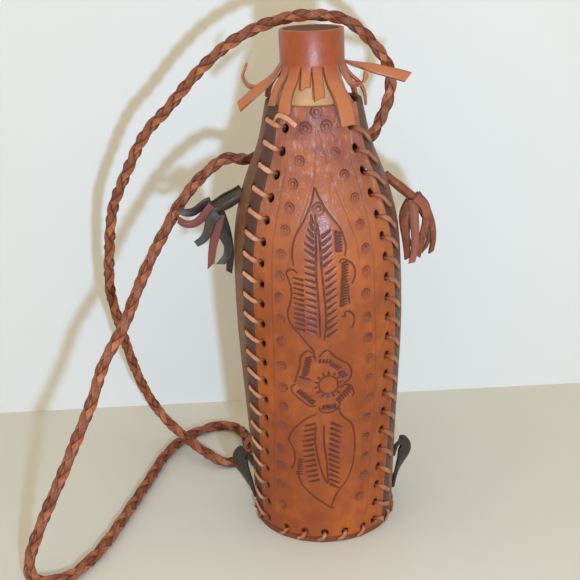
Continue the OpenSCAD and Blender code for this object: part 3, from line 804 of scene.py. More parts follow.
def press_path(field, depths, s, z, points, width, strength, taper=0.0):
    """Presses a stroke. taper is how much thinner it gets from its start to its end."""
    points = np.array(points, float)
    low, high = points.min(0) - 3 * width, points.max(0) + 3 * width
    near = (s > low[0]) & (s < high[0]) & (z > low[1]) & (z < high[1])
    if not near.any():
        return
    ps, pz = s[near], z[near]
    best = np.full(ps.shape, 9.0)
    for a, b in zip(points[:-1], points[1:]):
        run = b - a
        share = np.clip(((ps - a[0]) * run[0] + (pz - a[1]) * run[1]) / max(run @ run, 1e-9), 0, 1)
        far = np.hypot(ps - a[0] - share * run[0], pz - a[1] - share * run[1])
        best = np.minimum(best, far / (1 - taper * share))
    press(field, depths, near, best / width, strength)


# %% Carving
CUT_W, CUT_STRENGTH, SCRIBED_W, SCRIBED_STRENGTH = 0.46, 0.85, 0.5, 0.22
DASH_SHARE, DASH_TAPER, ROSETTE_SIZE, BIG_SIZE = 0.88, 0.6, 0.92, 1.1
# Radius of each ring of a rosette and half the width of its line
ROSETTE_RINGS = [(3.0, 0.42), (1.4, 0.38)]


def carving(s, z):
    """Distance to the nearest stroke, in stroke widths, and how deep that stroke is."""
    field, depths = np.full(s.shape, 4.0), np.zeros(s.shape)
    for line in LINES:
        press_path(field, depths, s, z, curve_through(line, 5), CUT_W, CUT_STRENGTH)
    for line in SCRIBED:
        press_path(field, depths, s, z, curve_through(line, 5), SCRIBED_W, SCRIBED_STRENGTH)
    for start, end, width in DASHES:
        press_path(field, depths, s, z, [start, end], width * DASH_SHARE, 1.0, DASH_TAPER)
    dice = random.Random(7)
    for spots, size in ((ROSETTES, ROSETTE_SIZE), (BIG_ROSETTES, BIG_SIZE)):
        for cs, cz in spots:
            faint, lean = dice.uniform(0.65, 1.0), dice.uniform(0.6, 2.4)
            near = np.hypot(s - cs, z - cz) < 5.5 * size
            ps, pz = s[near] - cs, z[near] - cz
            far = np.hypot(ps, pz) / size
            edge = np.min([np.abs(far - r) / width for r, width in ROSETTE_RINGS], axis=0)
            lit = faint * (0.62 + 0.38 * np.cos(np.arctan2(pz, ps) - lean))
            press(field, depths, near, edge, lit)
    return field, depths


# %% [markdown]
# ## Wall sheets
#
# A grid is laid out in azimuth and height between the two seams of a wall. The holes are punched
# in it flat: the points inside a hole go, and those left at its rim move onto the circle. Then the
# sheet is wrapped, and Solidify gives it its thickness, so that each hole gets a real wall.

# %% Sheet with holes
# A sheet's width is measured at its belly, and a hole looks so many radii round itself
BELLY_UP, HOLE_LOOK = 140.0, 2.6


def sheet_between(low_az, high_az, holes, step):
    """Flat grid in azimuth and height between two seams, with its holes."""
    width = math.radians(high_az(BELLY_UP) - low_az(BELLY_UP)) * BODY_R
    across, up = round(width / step), round((WALL_TOP - BASE_T) / step)
    bm = bmesh.new()
    bmesh.ops.create_grid(bm, x_segments=across, y_segments=up, size=0.5)
    zs = BASE_T + (WALL_TOP - BASE_T) * np.arange(up + 1) / up
    lows, highs = low_az(zs), high_az(zs)
    for v in bm.verts:
        j = round((v.co.y + 0.5) * up)
        v.co = (lows[j] + (v.co.x + 0.5) * (highs[j] - lows[j]), zs[j], 0)
    punched_near(bm, holes)
    return bm


def punched_near(bm, holes):
    """Punches hole by hole, looking only at the vertices round each."""
    verts = list(bm.verts)
    tree = KDTree(len(verts))
    for index, v in enumerate(verts):
        tree.insert((math.radians(v.co.x) * BODY_R, v.co.y, 0), index)
    tree.balance()
    gone, moved = set(), []
    for az, z, radius in holes:
        scale = math.radians(1) * float(wall_r(z))
        centre_at = (math.radians(az) * BODY_R, z, 0)
        reach = radius * HOLE_LOOK * BODY_R / float(wall_r(z))
        around = [verts[i] for _, i, _ in tree.find_range(centre_at, reach)]
        inside, rim = set(), []
        for v in around:
            d = math.hypot((v.co.x - az) * scale, v.co.y - z)
            if d < radius:
                inside.add(v)
            else:
                rim.append((v, d))
        for v, d in rim:
            if any(w in inside for f in v.link_faces for w in f.verts):
                share = radius / d
                moved.append((v, az + (v.co.x - az) * share, z + (v.co.y - z) * share))
        gone |= inside
    for v, x, y in moved:
        v.co.x, v.co.y = x, y
    bmesh.ops.delete(bm, geom=list(gone), context="VERTS")


# %% Wrapping and thickness
def wrap(bm, out):
    """Bends a flat sheet round the carrier; out gives how far each point stands off it."""
    flat = np.array([v.co[:2] for v in bm.verts])
    places = skin_place(flat[:, 0], flat[:, 1], out(flat[:, 0], flat[:, 1])) * MM
    for v, p in zip(bm.verts, places):
        v.co = p
    return flat


def thicken(piece, keep_inside=None):
    """Gives a sheet its thickness inwards, and keeps only a share of the flesh side's faces."""
    solid = piece.modifiers.new("thickness", "SOLIDIFY")
    solid.thickness, solid.offset = LEATHER * MM, -1
    if keep_inside:
        group = piece.vertex_groups.new(name="flesh_side")
        solid.shell_vertex_group = group.name
        fewer = piece.modifiers.new("coarser_inside", "DECIMATE")
        fewer.vertex_group, fewer.ratio = group.name, keep_inside


# %% [markdown]
# ## The seam's edges
#
# A laced edge is drawn up a little, so the front and back walls stand proud of the gussets at the
# seam, and their cut edge shows as a thin orange line. On the left of the front it lies flatter.
# The edge could be bent up by hand, but a lift that fades with the distance from the seam does it
# for every wall at once, and the laces can ask for the same lift.

# %% Seam lift
SEAM_LIFT, LEFT_LIFT, LIFT_REACH, SEAM_GAP = 1.3, 0.2, 3.2, 0.5


def seam_lift(distance, amount=SEAM_LIFT):
    return amount * np.exp(-((np.asarray(distance) / LIFT_REACH) ** 2))


def edge_distance(mid, az, z):
    """How far a point of a wall is from the nearer of its two seams, in millimetres."""
    off = np.abs(az - mid - twist(z))
    return np.radians(seam(z) - off) * wall_r(z)


def slow_wave(az, z, size=0.35):
    """Slight unevenness of hand-shaped leather."""
    a = np.radians(az)
    return size * (
        np.sin(3 * a + z / 31) * 0.5 + np.sin(z / 23 + 2 * a) * 0.35 + np.sin(7 * a - z / 17) * 0.25
    )


# %% Rows of holes
def seam_row(mid, way):
    heights = [hole_z(i) for i in range(HOLES)]
    return [(float(seam_az(mid, way, -PANEL_MARGIN, z)), z, PULLED_R) for z in heights]


def gusset_row(mid, way):
    first = 0 if way < 0 else 1
    heights = [gusset_z(i, way) for i in range(first, HOLES)]
    return [(float(seam_az(mid, way, GUSSET_MARGIN, z)), z, HOLE_R) for z in heights]


def foot_row(mid, half):
    """Foot holes within half degrees of a wall's middle."""
    turned = [(a + FOOT_LEAN - mid + 180) % 360 - 180 for a in FOOT_AZ]
    return [(mid + t, FOOT_HOLE_UP, HOLE_R) for t in turned if abs(t - FOOT_TURN) < half]


print(len(seam_row(0, -1)), "holes up the left of the front,", len(gusset_row(0, -1)), "beside it")


# %% [markdown]
# ## The tooled front
#
# The front is the finest mesh of all, because its strokes are pressed into it. Its leather is
# darker where it is carved and dyed. Up at the shoulder it is crumpled, and paler, partly in its
# own tone and partly as painted sheen, with painted glints in streaks. A height, a noise or a
# stored value mixes in each of these.

# %% Tooled leather finish
def tooled_leather():
    r = leather("tooled_leather", colour(194, 97, 27), colour(138, 59, 12), 0.34, 0.7, 0.12,
                raw=colour(196, 106, 44), patch=18.0)
    high = r.node("SeparateXYZ", inputs={"Vector": r.place()}, give=2)
    # Paler and pinker towards the top: partly the leather's own tone, partly painted sheen
    skin = r.mix(high.step(0.13, 0.26) * 0.6, r.skin, colour(184, 110, 76))
    blotch = r.noise(95.0, 4.0, 0.6)
    skin = r.mix(high.step(0.218, 0.262) * blotch.step(0.3, 0.7), skin, colour(140, 74, 68))
    # Painted highlights: pale glints in streaks near the top
    glint_streak = r.noise(330.0, 5.0, 0.75, stretch=(1.0, 1.0, 0.4))
    painted_glint = glint_streak.step(0.5, 0.78) * high.step(0.19, 0.24)
    skin = r.mix(painted_glint * 0.55, skin, colour(226, 180, 176))
    near = r.attribute("stroke")
    deep = r.attribute("depth")
    groove = (1 - near.step(0.45, 1.35)) * deep
    halo = (1 - near.step(0.8, 2.6)) * deep
    skin = r.mix(halo * 0.4, skin, colour(132, 60, 28))
    skin = r.mix(groove * 0.92, skin, colour(76, 34, 22))
    dye = r.attribute("dye")
    skin = r.mix(dye * 0.65, skin, colour(106, 52, 52))
    line = r.attribute("border")
    skin = r.mix(line * 0.6, skin, colour(190, 98, 36))
    crumple = r.noise(230.0, 4.0, 0.65, stretch=(1.0, 1.0, 0.55))
    height = r.height - groove * 3.0 + crumple * (0.8 + high.step(0.17, 0.26) * 5.5)
    normal = r.node("Bump", inputs={"Strength": 0.75, "Distance": 0.00025, "Height": height})
    r.set(Base_Color=skin, Normal=normal)
    r.set(Roughness=(r.shine - dye * 0.1 + groove * 0.15 - high.step(0.19, 0.25) * 0.1).clamped())
    return r


# %% Dye
DYE_SPOTS = [
    # across, up, half width, half height, amount
    (-3.5, 203, 8, 14, 0.9), (-9.5, 152, 6, 9, 0.7), (-17, 155, 4, 8, 0.5), (9.5, 118, 3, 4, 0.9),
    (-14, 114, 6, 4, 0.7), (8, 200, 3, 6, 0.7), (-6, 264, 9, 7, 0.7), (9, 250, 8, 12, 0.45),
    (26, 240, 8, 16, 0.45), (-26, 236, 7, 20, 0.4), (12, 66, 4, 9, 0.4), (-2.5, 104, 4, 3, 0.5),
]
ROSETTE_DYE, ROSETTE_REACH = 0.42, 3.3


def dye_at(s, z):
    total = np.zeros(s.shape)
    for cs, cz, ws, wz, amount in DYE_SPOTS:
        total += amount * np.exp(-(((s - cs) / ws) ** 2) - ((z - cz) / wz) ** 2)
    for cs, cz in ROSETTES + BIG_ROSETTES:
        total += ROSETTE_DYE * np.exp(-((s - cs) ** 2 + (z - cz) ** 2) / ROSETTE_REACH**2)
    return np.clip(total, 0, 1)


print("dye on the scroll of the leaf", dye_at(np.array([-9.5]), np.array([152.0])).round(2)[0])


# %% Front wall
FRONT_STEP, CUT_DEPTH, FOOT_SPAN, INSIDE_SHARE = 0.62, 0.5, 50, 0.56
# How far in from the edge the left one is shadowed, and where the dyed border is full and gone
SHADOW_WIDE, SHADOW_STRENGTH, BORDER_WIDE, BORDER_FADE = 0.75, 0.9, 1.3, 1.1
stored = {}


def wall_edge(mid, way):
    """Azimuth of a front or back wall's edge at a height."""
    return lambda z: mid + way * (seam(z) - turn_of(SEAM_GAP / 2, z)) + twist(z)


def front_relief(az, z):
    """How far the front stands out, with what its material reads kept in stored."""
    s = np.radians(az - twist(z)) * wall_r(z)
    field, depths = carving(s, z)
    edge = edge_distance(0, az, z)
    # Painted shadow: a thin dark line along the left edge, darkened like a cut, which also dips a
    # little
    shadowed = (s < 0) & (edge < SHADOW_WIDE)
    field[shadowed], depths[shadowed] = 0.0, SHADOW_STRENGTH
    stored.update(stroke=field, depth=depths, dye=dye_at(s, z), raw=np.zeros(s.shape))
    stored["border"] = np.clip(BORDER_WIDE - edge / BORDER_FADE, 0, 1)
    lift = seam_lift(edge, np.where(s < 0, LEFT_LIFT, SEAM_LIFT))
    return slow_wave(az, z) + lift - CUT_DEPTH * depths * np.exp(-(field**2))


front_holes = seam_row(0, -1) + seam_row(0, 1) + foot_row(0, FOOT_SPAN)
bm = sheet_between(wall_edge(0, -1), wall_edge(0, 1), front_holes, FRONT_STEP)
wrap(bm, front_relief)
finish = tooled_leather()
front = finish_piece("tooled_front", bm, finish, "carrier", "front_panel")
for name, values in stored.items():
    store(front.data, name, values)
thicken(front, keep_inside=INSIDE_SHARE)

# %% [markdown]
# ## The plain walls
#
# The back and the two gussets are the same kind of sheet without carving, so one maker does all
# three. A gusset is darker beside its seams, painted shade where less light reaches it.

# %% Plain leathers
tan_back = leather("back_leather", colour(164, 82, 36), colour(130, 60, 26), 0.42, 0.9, 0.05,
                   raw=colour(186, 98, 42), patch=20.0)
dark_gusset = leather("gusset_leather", colour(148, 96, 56), colour(108, 68, 42), 0.5, 1.2,
                      raw=colour(150, 96, 58), patch=22.0)
# Painted shade darkens each gusset beside its seams
shaded_near_seam = dark_gusset.attribute("seam_shade") * 0.85
dark_gusset.set(Base_Color=dark_gusset.mix(shaded_near_seam, dark_gusset.skin, colour(78, 48, 46)))
WALL_STEP, GUSSET_SPAN = 1.05, 25
STRAP_HOLE_R, STRAP_AZ, STRAP_UP = 3.6, 31.0, 233.0
TAIL_R, TAIL_UP = 2.8, {-1: 219.0, 1: 225.0}
BAND_WIDE, BAND_FADE = 9.6, 2.4


def painted_seam_shade(az, z):
    """Share of painted shade: 1 beside a seam and 0 in the middle of a gusset, where the leather is
    lighter.
    """
    off = np.abs((az - twist(z) + 180) % 360 - 180)
    reach = np.radians(np.minimum(off - seam(z), 180 - seam(z) - off)) * wall_r(z)
    ragged = 0.7 * np.sin(z / 4.1 + az) + 0.5 * np.sin(z / 1.7)
    return 1 - np.clip((reach + ragged - BAND_WIDE) / BAND_FADE, 0, 1)


# %% Back wall
def plain_wall(name, edges, holes, relief, recipe, node):
    bm = sheet_between(*edges, holes, WALL_STEP)
    flat = wrap(bm, relief)
    piece = finish_piece(name, bm, recipe, "carrier", node)
    store(piece.data, "raw", np.zeros(len(flat)))
    store(piece.data, "seam_shade", painted_seam_shade(flat[:, 0], flat[:, 1]))
    thicken(piece)


def back_relief(az, z):
    return slow_wave(az, z) + seam_lift(edge_distance(180, az, z))


back_holes = seam_row(180, -1) + seam_row(180, 1) + foot_row(180, FOOT_SPAN)
back_holes += [(180 + way * STRAP_AZ, STRAP_UP, STRAP_HOLE_R) for way in (-1, 1)]
back_edges = (wall_edge(180, -1), wall_edge(180, 1))
plain_wall("back_wall", back_edges, back_holes, back_relief, tan_back, "back_panel")


# %% Gussets
def gusset_edge(way, far):
    """Azimuth of a gusset's edge at a height, at the front or the far seam."""
    def edge(z):
        reach = seam(z) + turn_of(SEAM_GAP / 2, z)
        return way * (180 - reach if far else reach) + twist(z)

    return edge


def gusset_relief(az, z):
    return slow_wave(az, z, 0.25)


for way, name in ((-1, "left"), (1, "right")):
    behind = [(a - 360 if way < 0 else a, z, r) for a, z, r in gusset_row(180, -way)]
    holes = gusset_row(0, way) + behind + foot_row(way * 90, GUSSET_SPAN)
    holes.append((way * 90, TAIL_UP[way], TAIL_R))
    edges = (gusset_edge(way, way < 0), gusset_edge(way, way > 0))
    plain_wall(name + "_side_wall", edges, holes, gusset_relief, dark_gusset,
               name + "_gusset")

# %% [markdown]
# ## Lacing
#
# One flat lace runs up each seam: out of a hole in the wall, over the seam, in at a hole in the
# gusset, and back inside to the next. On the left front and the right back seam the outer runs
# are nearly level, and on the other two they slant down by a whole step. Each stitch could be a
# bent strip of its own, but one long path through all the holes was chosen: it is how the lace
# really goes, and it has no ends that could show in a hole.

# %% Lace sizes and leather
LACE_W, LACE_T, LACE_LIE, LACE_IN = 3.15, 0.95, 0.9, -3.9
LACE_SECTION = flat_section(LACE_W, LACE_T, 0.4)
RUN = PANEL_MARGIN + GUSSET_MARGIN
# How much the lace is squeezed at each place of a stitch, then how much painted shade darkens it
# where it goes into a hole
PINCH = [1, 1, 0.3, 0, 0, 0, 0.8, 1]
HOLE_SHADE = [1, 0.9, 0.3, 0, 0, 0, 0.5, 1]
LOOSE_END = [
    (-54, 264, 0.8), (-47, 268.5, 1.6), (-39, 268.5, 2.2), (-31, 266.8, 2.4), (-23, 263.6, 2.6),
]
HUG, BEND = 2.45, 3.6
# The left front lace's paler leather is partly its own tone and partly painted light
lace_leather = leather("lace_leather", colour(238, 190, 154), colour(194, 130, 98), 0.42, 0.4,
                       edge=colour(170, 96, 56), patch=70.0)
# Each lace's edge colour is painted shade on its rounded edges
dusky_lace = leather("dusky_lace_leather", colour(204, 140, 104), colour(150, 88, 62), 0.42, 0.4,
                     edge=colour(130, 68, 40), patch=70.0)
# Painted shade darkens each lace where it goes into a hole
for recipe in (lace_leather, dusky_lace):
    hole_shade = recipe.attribute("mark") * 0.9
    recipe.set(Base_Color=recipe.mix(hole_shade, recipe.skin, colour(116, 56, 26)))


# %% Stitches
def on_seam(mid, way, z_wall, z_gusset, distance, out):
    share = distance / math.hypot(RUN, z_gusset - z_wall)
    z = z_wall + (z_gusset - z_wall) * share
    past = RUN * share - PANEL_MARGIN
    amount = LEFT_LIFT if (mid, way) == (0, -1) else SEAM_LIFT
    lift = float(seam_lift(abs(past), amount)) if past < 1.2 else 0.0
    return skin_place(seam_az(mid, way, past, z), z, out + (lift if out > 0.3 else 0.0))


def stitch(mid, way, z_wall, z_gusset, dice):
    """Places of one stitch and the direction in which the lace is wide there."""
    length = math.hypot(RUN, z_gusset - z_wall)
    loose = dice.uniform(0, 0.3)
    at = [
        (HUG, LACE_IN), (HUG, 0.2), (BEND, LACE_LIE * 0.8), (length * 0.36, LACE_LIE + loose),
        (length * 0.68, LACE_LIE + loose), (length - BEND, LACE_LIE), (length - HUG, 0.45),
        (length - HUG, LACE_IN),
    ]
    places = [on_seam(mid, way, z_wall, z_gusset, d, out) for d, out in at]
    middle = (z_wall + z_gusset) / 2
    normal = wall_normal(seam_az(mid, way, 0, middle), middle)
    wide = unit(np.cross(places[5] - places[2], normal))
    return places, [wide * (-1 if wide[2] < 0 else 1)] * len(places)


def slant_tail(mid, way):
    """The lowest half stitch of a slanting seam, which runs down to the wall's foot."""
    z = hole_z(0)
    drop = z - BASE_T
    places = [
        on_seam(mid, way, z, z, HUG, LACE_IN),
        on_seam(mid, way, z, z, HUG, 0.45),
        on_seam(mid, way, z, z, BEND, LACE_LIE),
        skin_place(seam_az(mid, way, -0.3, z - drop / 3), z - drop / 3, LACE_LIE + SEAM_LIFT),
        skin_place(seam_az(mid, way, 2.5, BASE_T), BASE_T, LACE_LIE),
    ]
    return places, [UP] * len(places)


def loose_end():
    """The free end of the left lace, which lies on the front under the fringe."""
    line = curve_through([skin_place(az, z, out) for az, z, out in LOOSE_END], 5)
    return strip(line, np.array([0.4, 0.1, 1.0]), LACE_SECTION)


# %% Seam laces
def seam_lace(node, mid, way, seed):
    dice = random.Random(seed)
    rows = range(HOLES) if way < 0 else range(HOLES - 1, 0, -1)
    runs = [stitch(mid, way, hole_z(i), gusset_z(i, way), dice) for i in rows]
    if way > 0:
        runs.append(slant_tail(mid, way))
    stops, guides, pinch_and_shade = [], [], []
    for places, wide in runs:
        stops, guides = stops + places, guides + wide
        pinch_and_shade += list(zip(PINCH, HOLE_SHADE))[: len(places)]
    path = curve_through(stops, 3)
    ease = 1 + 0.08 * np.sin(np.arange(len(path)) * 0.9 + seed)
    # The second value is the share of painted shade near the holes
    pinch, hole_shade = curve_through(pinch_and_shade, 3).T
    wide = ease * (1 - 0.3 * pinch)
    bm = strip(path, curve_through(guides, 3), LACE_SECTION, grow=wide, mark=hole_shade)
    finish = dusky_lace
    # The left front lace takes the paler leather, partly painted light
    if (mid, way) == (0, -1):
        bm, finish = joined([bm, loose_end()]), lace_leather
    finish_piece(node + "_run", bm, finish, "carrier", node, 60)


seam_lace("front_left_lace", 0, -1, 1)
seam_lace("front_right_lace", 0, 1, 2)
seam_lace("back_left_lace", 180, 1, 3)
seam_lace("back_right_lace", 180, -1, 4)

# %% [markdown]
# ## The foot
#
# The base is a leather disc. A lace whips its edge to the walls: out of a hole in the wall, down
# over the edge, under the disc in a groove that keeps it off the table, and up inside. A bump
# could only paint a groove, so bars and pegs are cut out of the disc with one Boolean.

# %% Foot lace
BASE_MARGIN = 5.8
FOOT_R = float(wall_r(BASE_T))
BASE_HOLE_R = FOOT_R - LEATHER / math.cos(float(wall_lean(BASE_T))) - BASE_MARGIN
GROOVE_UP, GROOVE_WIDE, UNDER_Z = 1.75, 3.2, 0.85
FOOT_SECTION = flat_section(2.6, LACE_T, 0.4)


def foot_stitch(az):
    h, r = FOOT_HOLE_UP, float(wall_r(FOOT_HOLE_UP))
    out, leant, part = (ray(az + a) for a in (0, FOOT_LEAN, FOOT_LEAN * 2 / 3))
    return [
        (r + LACE_IN) * leant + (h - 1.2) * UP,
        (r + 0.45) * leant + (h - 1.2) * UP,
        (r + LACE_LIE) * part + (h - BEND) * UP,
        (FOOT_R + LACE_LIE) * out + (GROOVE_UP + LACE_T / 2) * UP,
        (FOOT_R + LACE_T / 2) * out + (UNDER_Z + 0.08) * UP,
        (FOOT_R - BEND) * out + UNDER_Z * UP,
        (BASE_HOLE_R + 2.3) * out + UNDER_Z * UP,
        (BASE_HOLE_R + 0.4) * out + (UNDER_Z + LACE_T) * UP,
        (BASE_HOLE_R + 0.4) * out + (BASE_T + 0.9) * UP,
    ]


stops, guides = [], []
for az in FOOT_AZ:
    places = foot_stitch(az)
    stops, guides = stops + places, guides + [ray(az + 90)] * len(places)
bm = strip(curve_through(stops, 3), curve_through(guides, 3), FOOT_SECTION)
finish_piece("foot_lace", bm, dusky_lace, "carrier", "base_lace", 60)

# %% Base disc
base_leather = leather("base_leather", colour(150, 80, 40), colour(112, 56, 30), 0.55, 1.2,
                       patch=24.0)
bm = bmesh.new()
bmesh.ops.create_circle(bm, cap_ends=True, radius=FOOT_R * MM, segments=192)
lifted = bmesh.ops.extrude_face_region(bm, geom=list(bm.faces))
top = [v for v in lifted["geom"] if isinstance(v, bmesh.types.BMVert)]
bmesh.ops.translate(bm, verts=top, vec=(0, 0, BASE_T * MM))
bmesh.ops.recalc_face_normals(bm, faces=bm.faces)
base = finish_piece("base_disc", bm, base_leather, "carrier", "base_panel", 35)

# %% Grooves and holes in the base
# How far a cutter goes past the base's edge and below it
PAST_EDGE, PAST_UNDER = 4.0, 2.0
cutters = []
for az in FOOT_AZ:
    out, side_way = ray(az), ray(az + 90)
    bar = bmesh.new()
    bmesh.ops.create_cube(bar, size=1.0)
    for v in bar.verts:
        reach = BASE_HOLE_R if v.co.x < 0 else FOOT_R + PAST_EDGE
        place = reach * out + v.co.y * GROOVE_WIDE * side_way
        v.co = (place + (-PAST_UNDER if v.co.z < 0 else GROOVE_UP) * UP) * MM
    bmesh.ops.recalc_face_normals(bar, faces=bar.faces)
    cutters.append(bar)
    hole, radius = bmesh.new(), HOLE_R * MM
    bmesh.ops.create_cone(hole, cap_ends=True, segments=24, radius1=radius, radius2=radius,
                          depth=4 * BASE_T * MM)
    bmesh.ops.translate(hole, verts=hole.verts, vec=tuple(BASE_HOLE_R * out * MM))
    cutters.append(hole)
knife = new_object("groove_knife", joined(cutters))
cut = base.modifiers.new("grooves", "BOOLEAN")
cut.object, cut.solver, cut.use_self = knife, "EXACT", True
shaped = settled_mesh(base)
base.modifiers.clear()
base.data = shaped
bpy.data.objects.remove(knife)
print("base faces", len(shaped.polygons))

# %% [markdown]
# ## Neck and cap
#
# A cream collar flares out of the walls' top. The cap slips over it: a tan tube, cut below into
# strips that splay over the shoulder, and closed by a dark disc inside its rim. What is round is
# spun from half its outline. The strips could be cut from the tube's mesh, but each falls in its
# own way, so each is a strip of its own that starts in the tube's lower edge.

# %% Neck collar
CAP_RIM, CAP_WALL, CAP_R, CAP_IN = 315.0, 20.4, 19.0, 17.0
COLLAR_R, COLLAR_T, COLLAR_TOP, FLARE_Z, FLARE_H = 16.7, 2.0, 312.0, 269.0, 22.0
DISC_UP, DISC_T = 312.3, 2.0
FLARE_R = float(wall_r(FLARE_Z) - LEATHER / np.cos(wall_lean(FLARE_Z))) - 0.3
cream_leather = leather("cream_leather", colour(240, 194, 144), colour(222, 168, 118), 0.6, 0.8,
                        patch=30.0)


def lathe(profile):
    """Spins a closed (radius, height) outline round the axis."""
    bm = bmesh.new()
    verts = [bm.verts.new((r * MM, 0, z * MM)) for r, z in profile]
    edges = [bm.edges.new(pair) for pair in zip(verts, verts[1:] + verts[:1])]
    bmesh.ops.spin(bm, geom=verts + edges, axis=(0, 0, 1), cent=(0, 0, 0), angle=2 * math.pi,
                   steps=120, use_merge=True)
    bmesh.ops.remove_doubles(bm, verts=bm.verts, dist=1e-6)
    bmesh.ops.recalc_face_normals(bm, faces=bm.faces)
    return bm


flare = [
    (COLLAR_R + (FLARE_R - COLLAR_R) * s * s, FLARE_Z + FLARE_H * (1 - s))
    for s in np.linspace(0, 1, 18)
]
outline = [(COLLAR_R - COLLAR_T, COLLAR_TOP - 0.4), (COLLAR_R - 0.6, COLLAR_TOP)]
outline += [(COLLAR_R, COLLAR_TOP - 0.6)] + flare
outline += [(r - COLLAR_T, z) for r, z in reversed(flare)]
bm = lathe(outline)
finish_piece("neck_collar", bm, cream_leather, "carrier", "neck_sleeve")

# %% Cap leather
# The edge colour is painted shade in the cuts between the strips
cap_leather = leather("cap_leather", colour(184, 82, 22), colour(146, 56, 14), 0.36, 0.6, 0.7,
                      raw=colour(196, 118, 68), edge=colour(112, 54, 28), patch=24.0,
                      edge_shade_from=0.78)
# Painted light: the strips grow paler from the root, where they face up to the lamp
tip_light_share = cap_leather.attribute("mark") * (1 - cap_leather.attribute("edge").step(0.7, 1.0)) * 0.85
paler = cap_leather.mix(tip_light_share, cap_leather.skin, colour(186, 108, 64))
rippled = cap_leather.height + cap_leather.noise(260.0, 3.0, 0.6, stretch=(1.0, 1.0, 0.35)) * 4.0
bumps = cap_leather.node("Bump", inputs={"Strength": 0.6, "Distance": 0.00022, "Height": rippled})
cap_leather.set(Base_Color=paler, Normal=bumps, Coat_Roughness=0.42)
disc_leather = leather("disc_leather", colour(122, 76, 56), colour(84, 50, 38), 0.7, 1.0)

# %% Fringe strips
FRINGE_T, FRINGE_LEN, STRIP_STEPS = 1.5, 40.0, 6
CAP_FOOT = CAP_RIM - CAP_WALL
STRIP_R = CAP_R - 0.8
# Azimuth, width in degrees, length share, angle from straight down at the root, the middle and
# the tip, sideways turn and roll of the tip, and how much wider the tip is
FRINGE = [
    (-39, 26, 0.72, 8, 42, 6, 0, 0, 0.14), (-16, 21, 0.3, 6, 30, 26, 0, 0, 0),
    (3, 21, 0.48, 8, 40, 30, -1, 0, 0.05), (29, 32, 0.9, 8, 42, 8, 2, 0, 0.14),
    (62, 22, 0.62, 14, 36, 170, 6, 10, 0), (84, 17, 0.7, 20, 46, 4, 0, -30, 0),
    (101, 17, 1, 76, 74, 74, -10, 62, 0.4), (-61, 20, 0.6, 12, 38, 18, 0, -8, 0.1),
    (-80, 19, 0.86, 36, 54, 50, -2, -34, 0.5), (-98, 18, 0.94, 38, 50, 200, 0, -12, 0),
    (119, 17, 0.68, 14, 46, 16, 2, 0, 0), (137, 17, 0.73, 8, 43, 8, 0, 0, 0),
    (156, 18, 0.68, 8, 43, 10, 4, 0, 0), (176, 19, 0.72, 8, 43, 8, -3, 0, 0),
    (196, 19, 0.66, 8, 43, 12, 0, 0, 0), (215, 18, 0.72, 10, 44, 8, 4, 0, 0),
    (234, 18, 0.68, 20, 52, 14, -3, 0, 0),
]


def bow(a, b, c, s):
    """A value that is a at 0, b half way and c at 1."""
    return a + (b - a) * 2 * s if s < 0.5 else b + (c - b) * (2 * s - 1)


def strip_line(f):
    """Places of a fringe strip and the directions in which it is wide."""
    az, _, length, root, middle, tip, turn, roll, _ = f
    step = length * FRINGE_LEN / STRIP_STEPS
    r, z = STRIP_R, CAP_FOOT
    points = [r * ray(az) + (z + 0.8) * UP]
    for k in range(1, STRIP_STEPS + 1):
        drop = math.radians(bow(root, middle, tip, k / STRIP_STEPS))
        r, z = r + step * math.sin(drop), z - step * math.cos(drop)
        points.append(r * ray(az + turn * (k / STRIP_STEPS) ** 2) + z * UP)
    leans = [math.radians(roll * min(1, 2 * k / STRIP_STEPS)) for k in range(STRIP_STEPS + 1)]
    return points, [-math.cos(a) * ray(az + 90) - math.sin(a) * UP for a in leans]


def fringe_strip(f, dice):
    """One strip, narrower at its waist, cut a little askew and curved like the cap it is cut in."""
    points, guides = strip_line(f)
    line = curve_through(points, 4)
    share = np.linspace(0, 1, len(line))
    waist = 0.1 * np.sin(share * math.pi) * dice.uniform(-0.4, 1)
    wide = 1 - waist + f[-1] * share - 0.1 * share**8
    section = flat_section(STRIP_R * math.radians(f[1]) * 0.97, FRINGE_T, 0.3, 5)
    curve = (1 - share * 0.8) / STRIP_R
    # mark is the share of painted light along the strip
    return strip(line, curve_through(guides, 4), section, wide, curve, dice.uniform(-2.2, 2.2),
                 mark=np.clip(share * 3, 0, 1))


print(len(FRINGE), "strips, the longest", max(row[2] for row in FRINGE) * FRINGE_LEN, "mm")

# %% Cap and disc
rounded_wall = [
    (CAP_IN, CAP_FOOT), (CAP_R, CAP_FOOT), (CAP_R, CAP_RIM - 0.7), (CAP_R - 0.25, CAP_RIM - 0.2),
    (CAP_R - 0.8, CAP_RIM), (CAP_IN + 0.6, CAP_RIM), (CAP_IN + 0.1, CAP_RIM - 0.4),
    (CAP_IN, CAP_RIM - 1),
]
tube, dice = lathe(rounded_wall), random.Random(5)
raw = tube.verts.layers.float.new("raw")
for v in tube.verts:
    on_rim = v.co.z / MM > CAP_RIM - 0.3 and math.hypot(v.co.x, v.co.y) / MM < CAP_R - 0.2
    v[raw] = 0.5 if on_rim else 0.0
bm = joined([tube] + [fringe_strip(f, dice) for f in FRINGE])
finish_piece("fringed_cap", bm, cap_leather, "cap", "cap_skirt")
disc = [(0.001, DISC_UP), (CAP_IN - 0.15, DISC_UP), (CAP_IN - 0.15, DISC_UP + DISC_T - 0.3),
        (CAP_IN - 0.6, DISC_UP + DISC_T), (0.001, DISC_UP + DISC_T)]
finish_piece("cap_disc", lathe(disc), disc_leather, "cap", "cap_top")

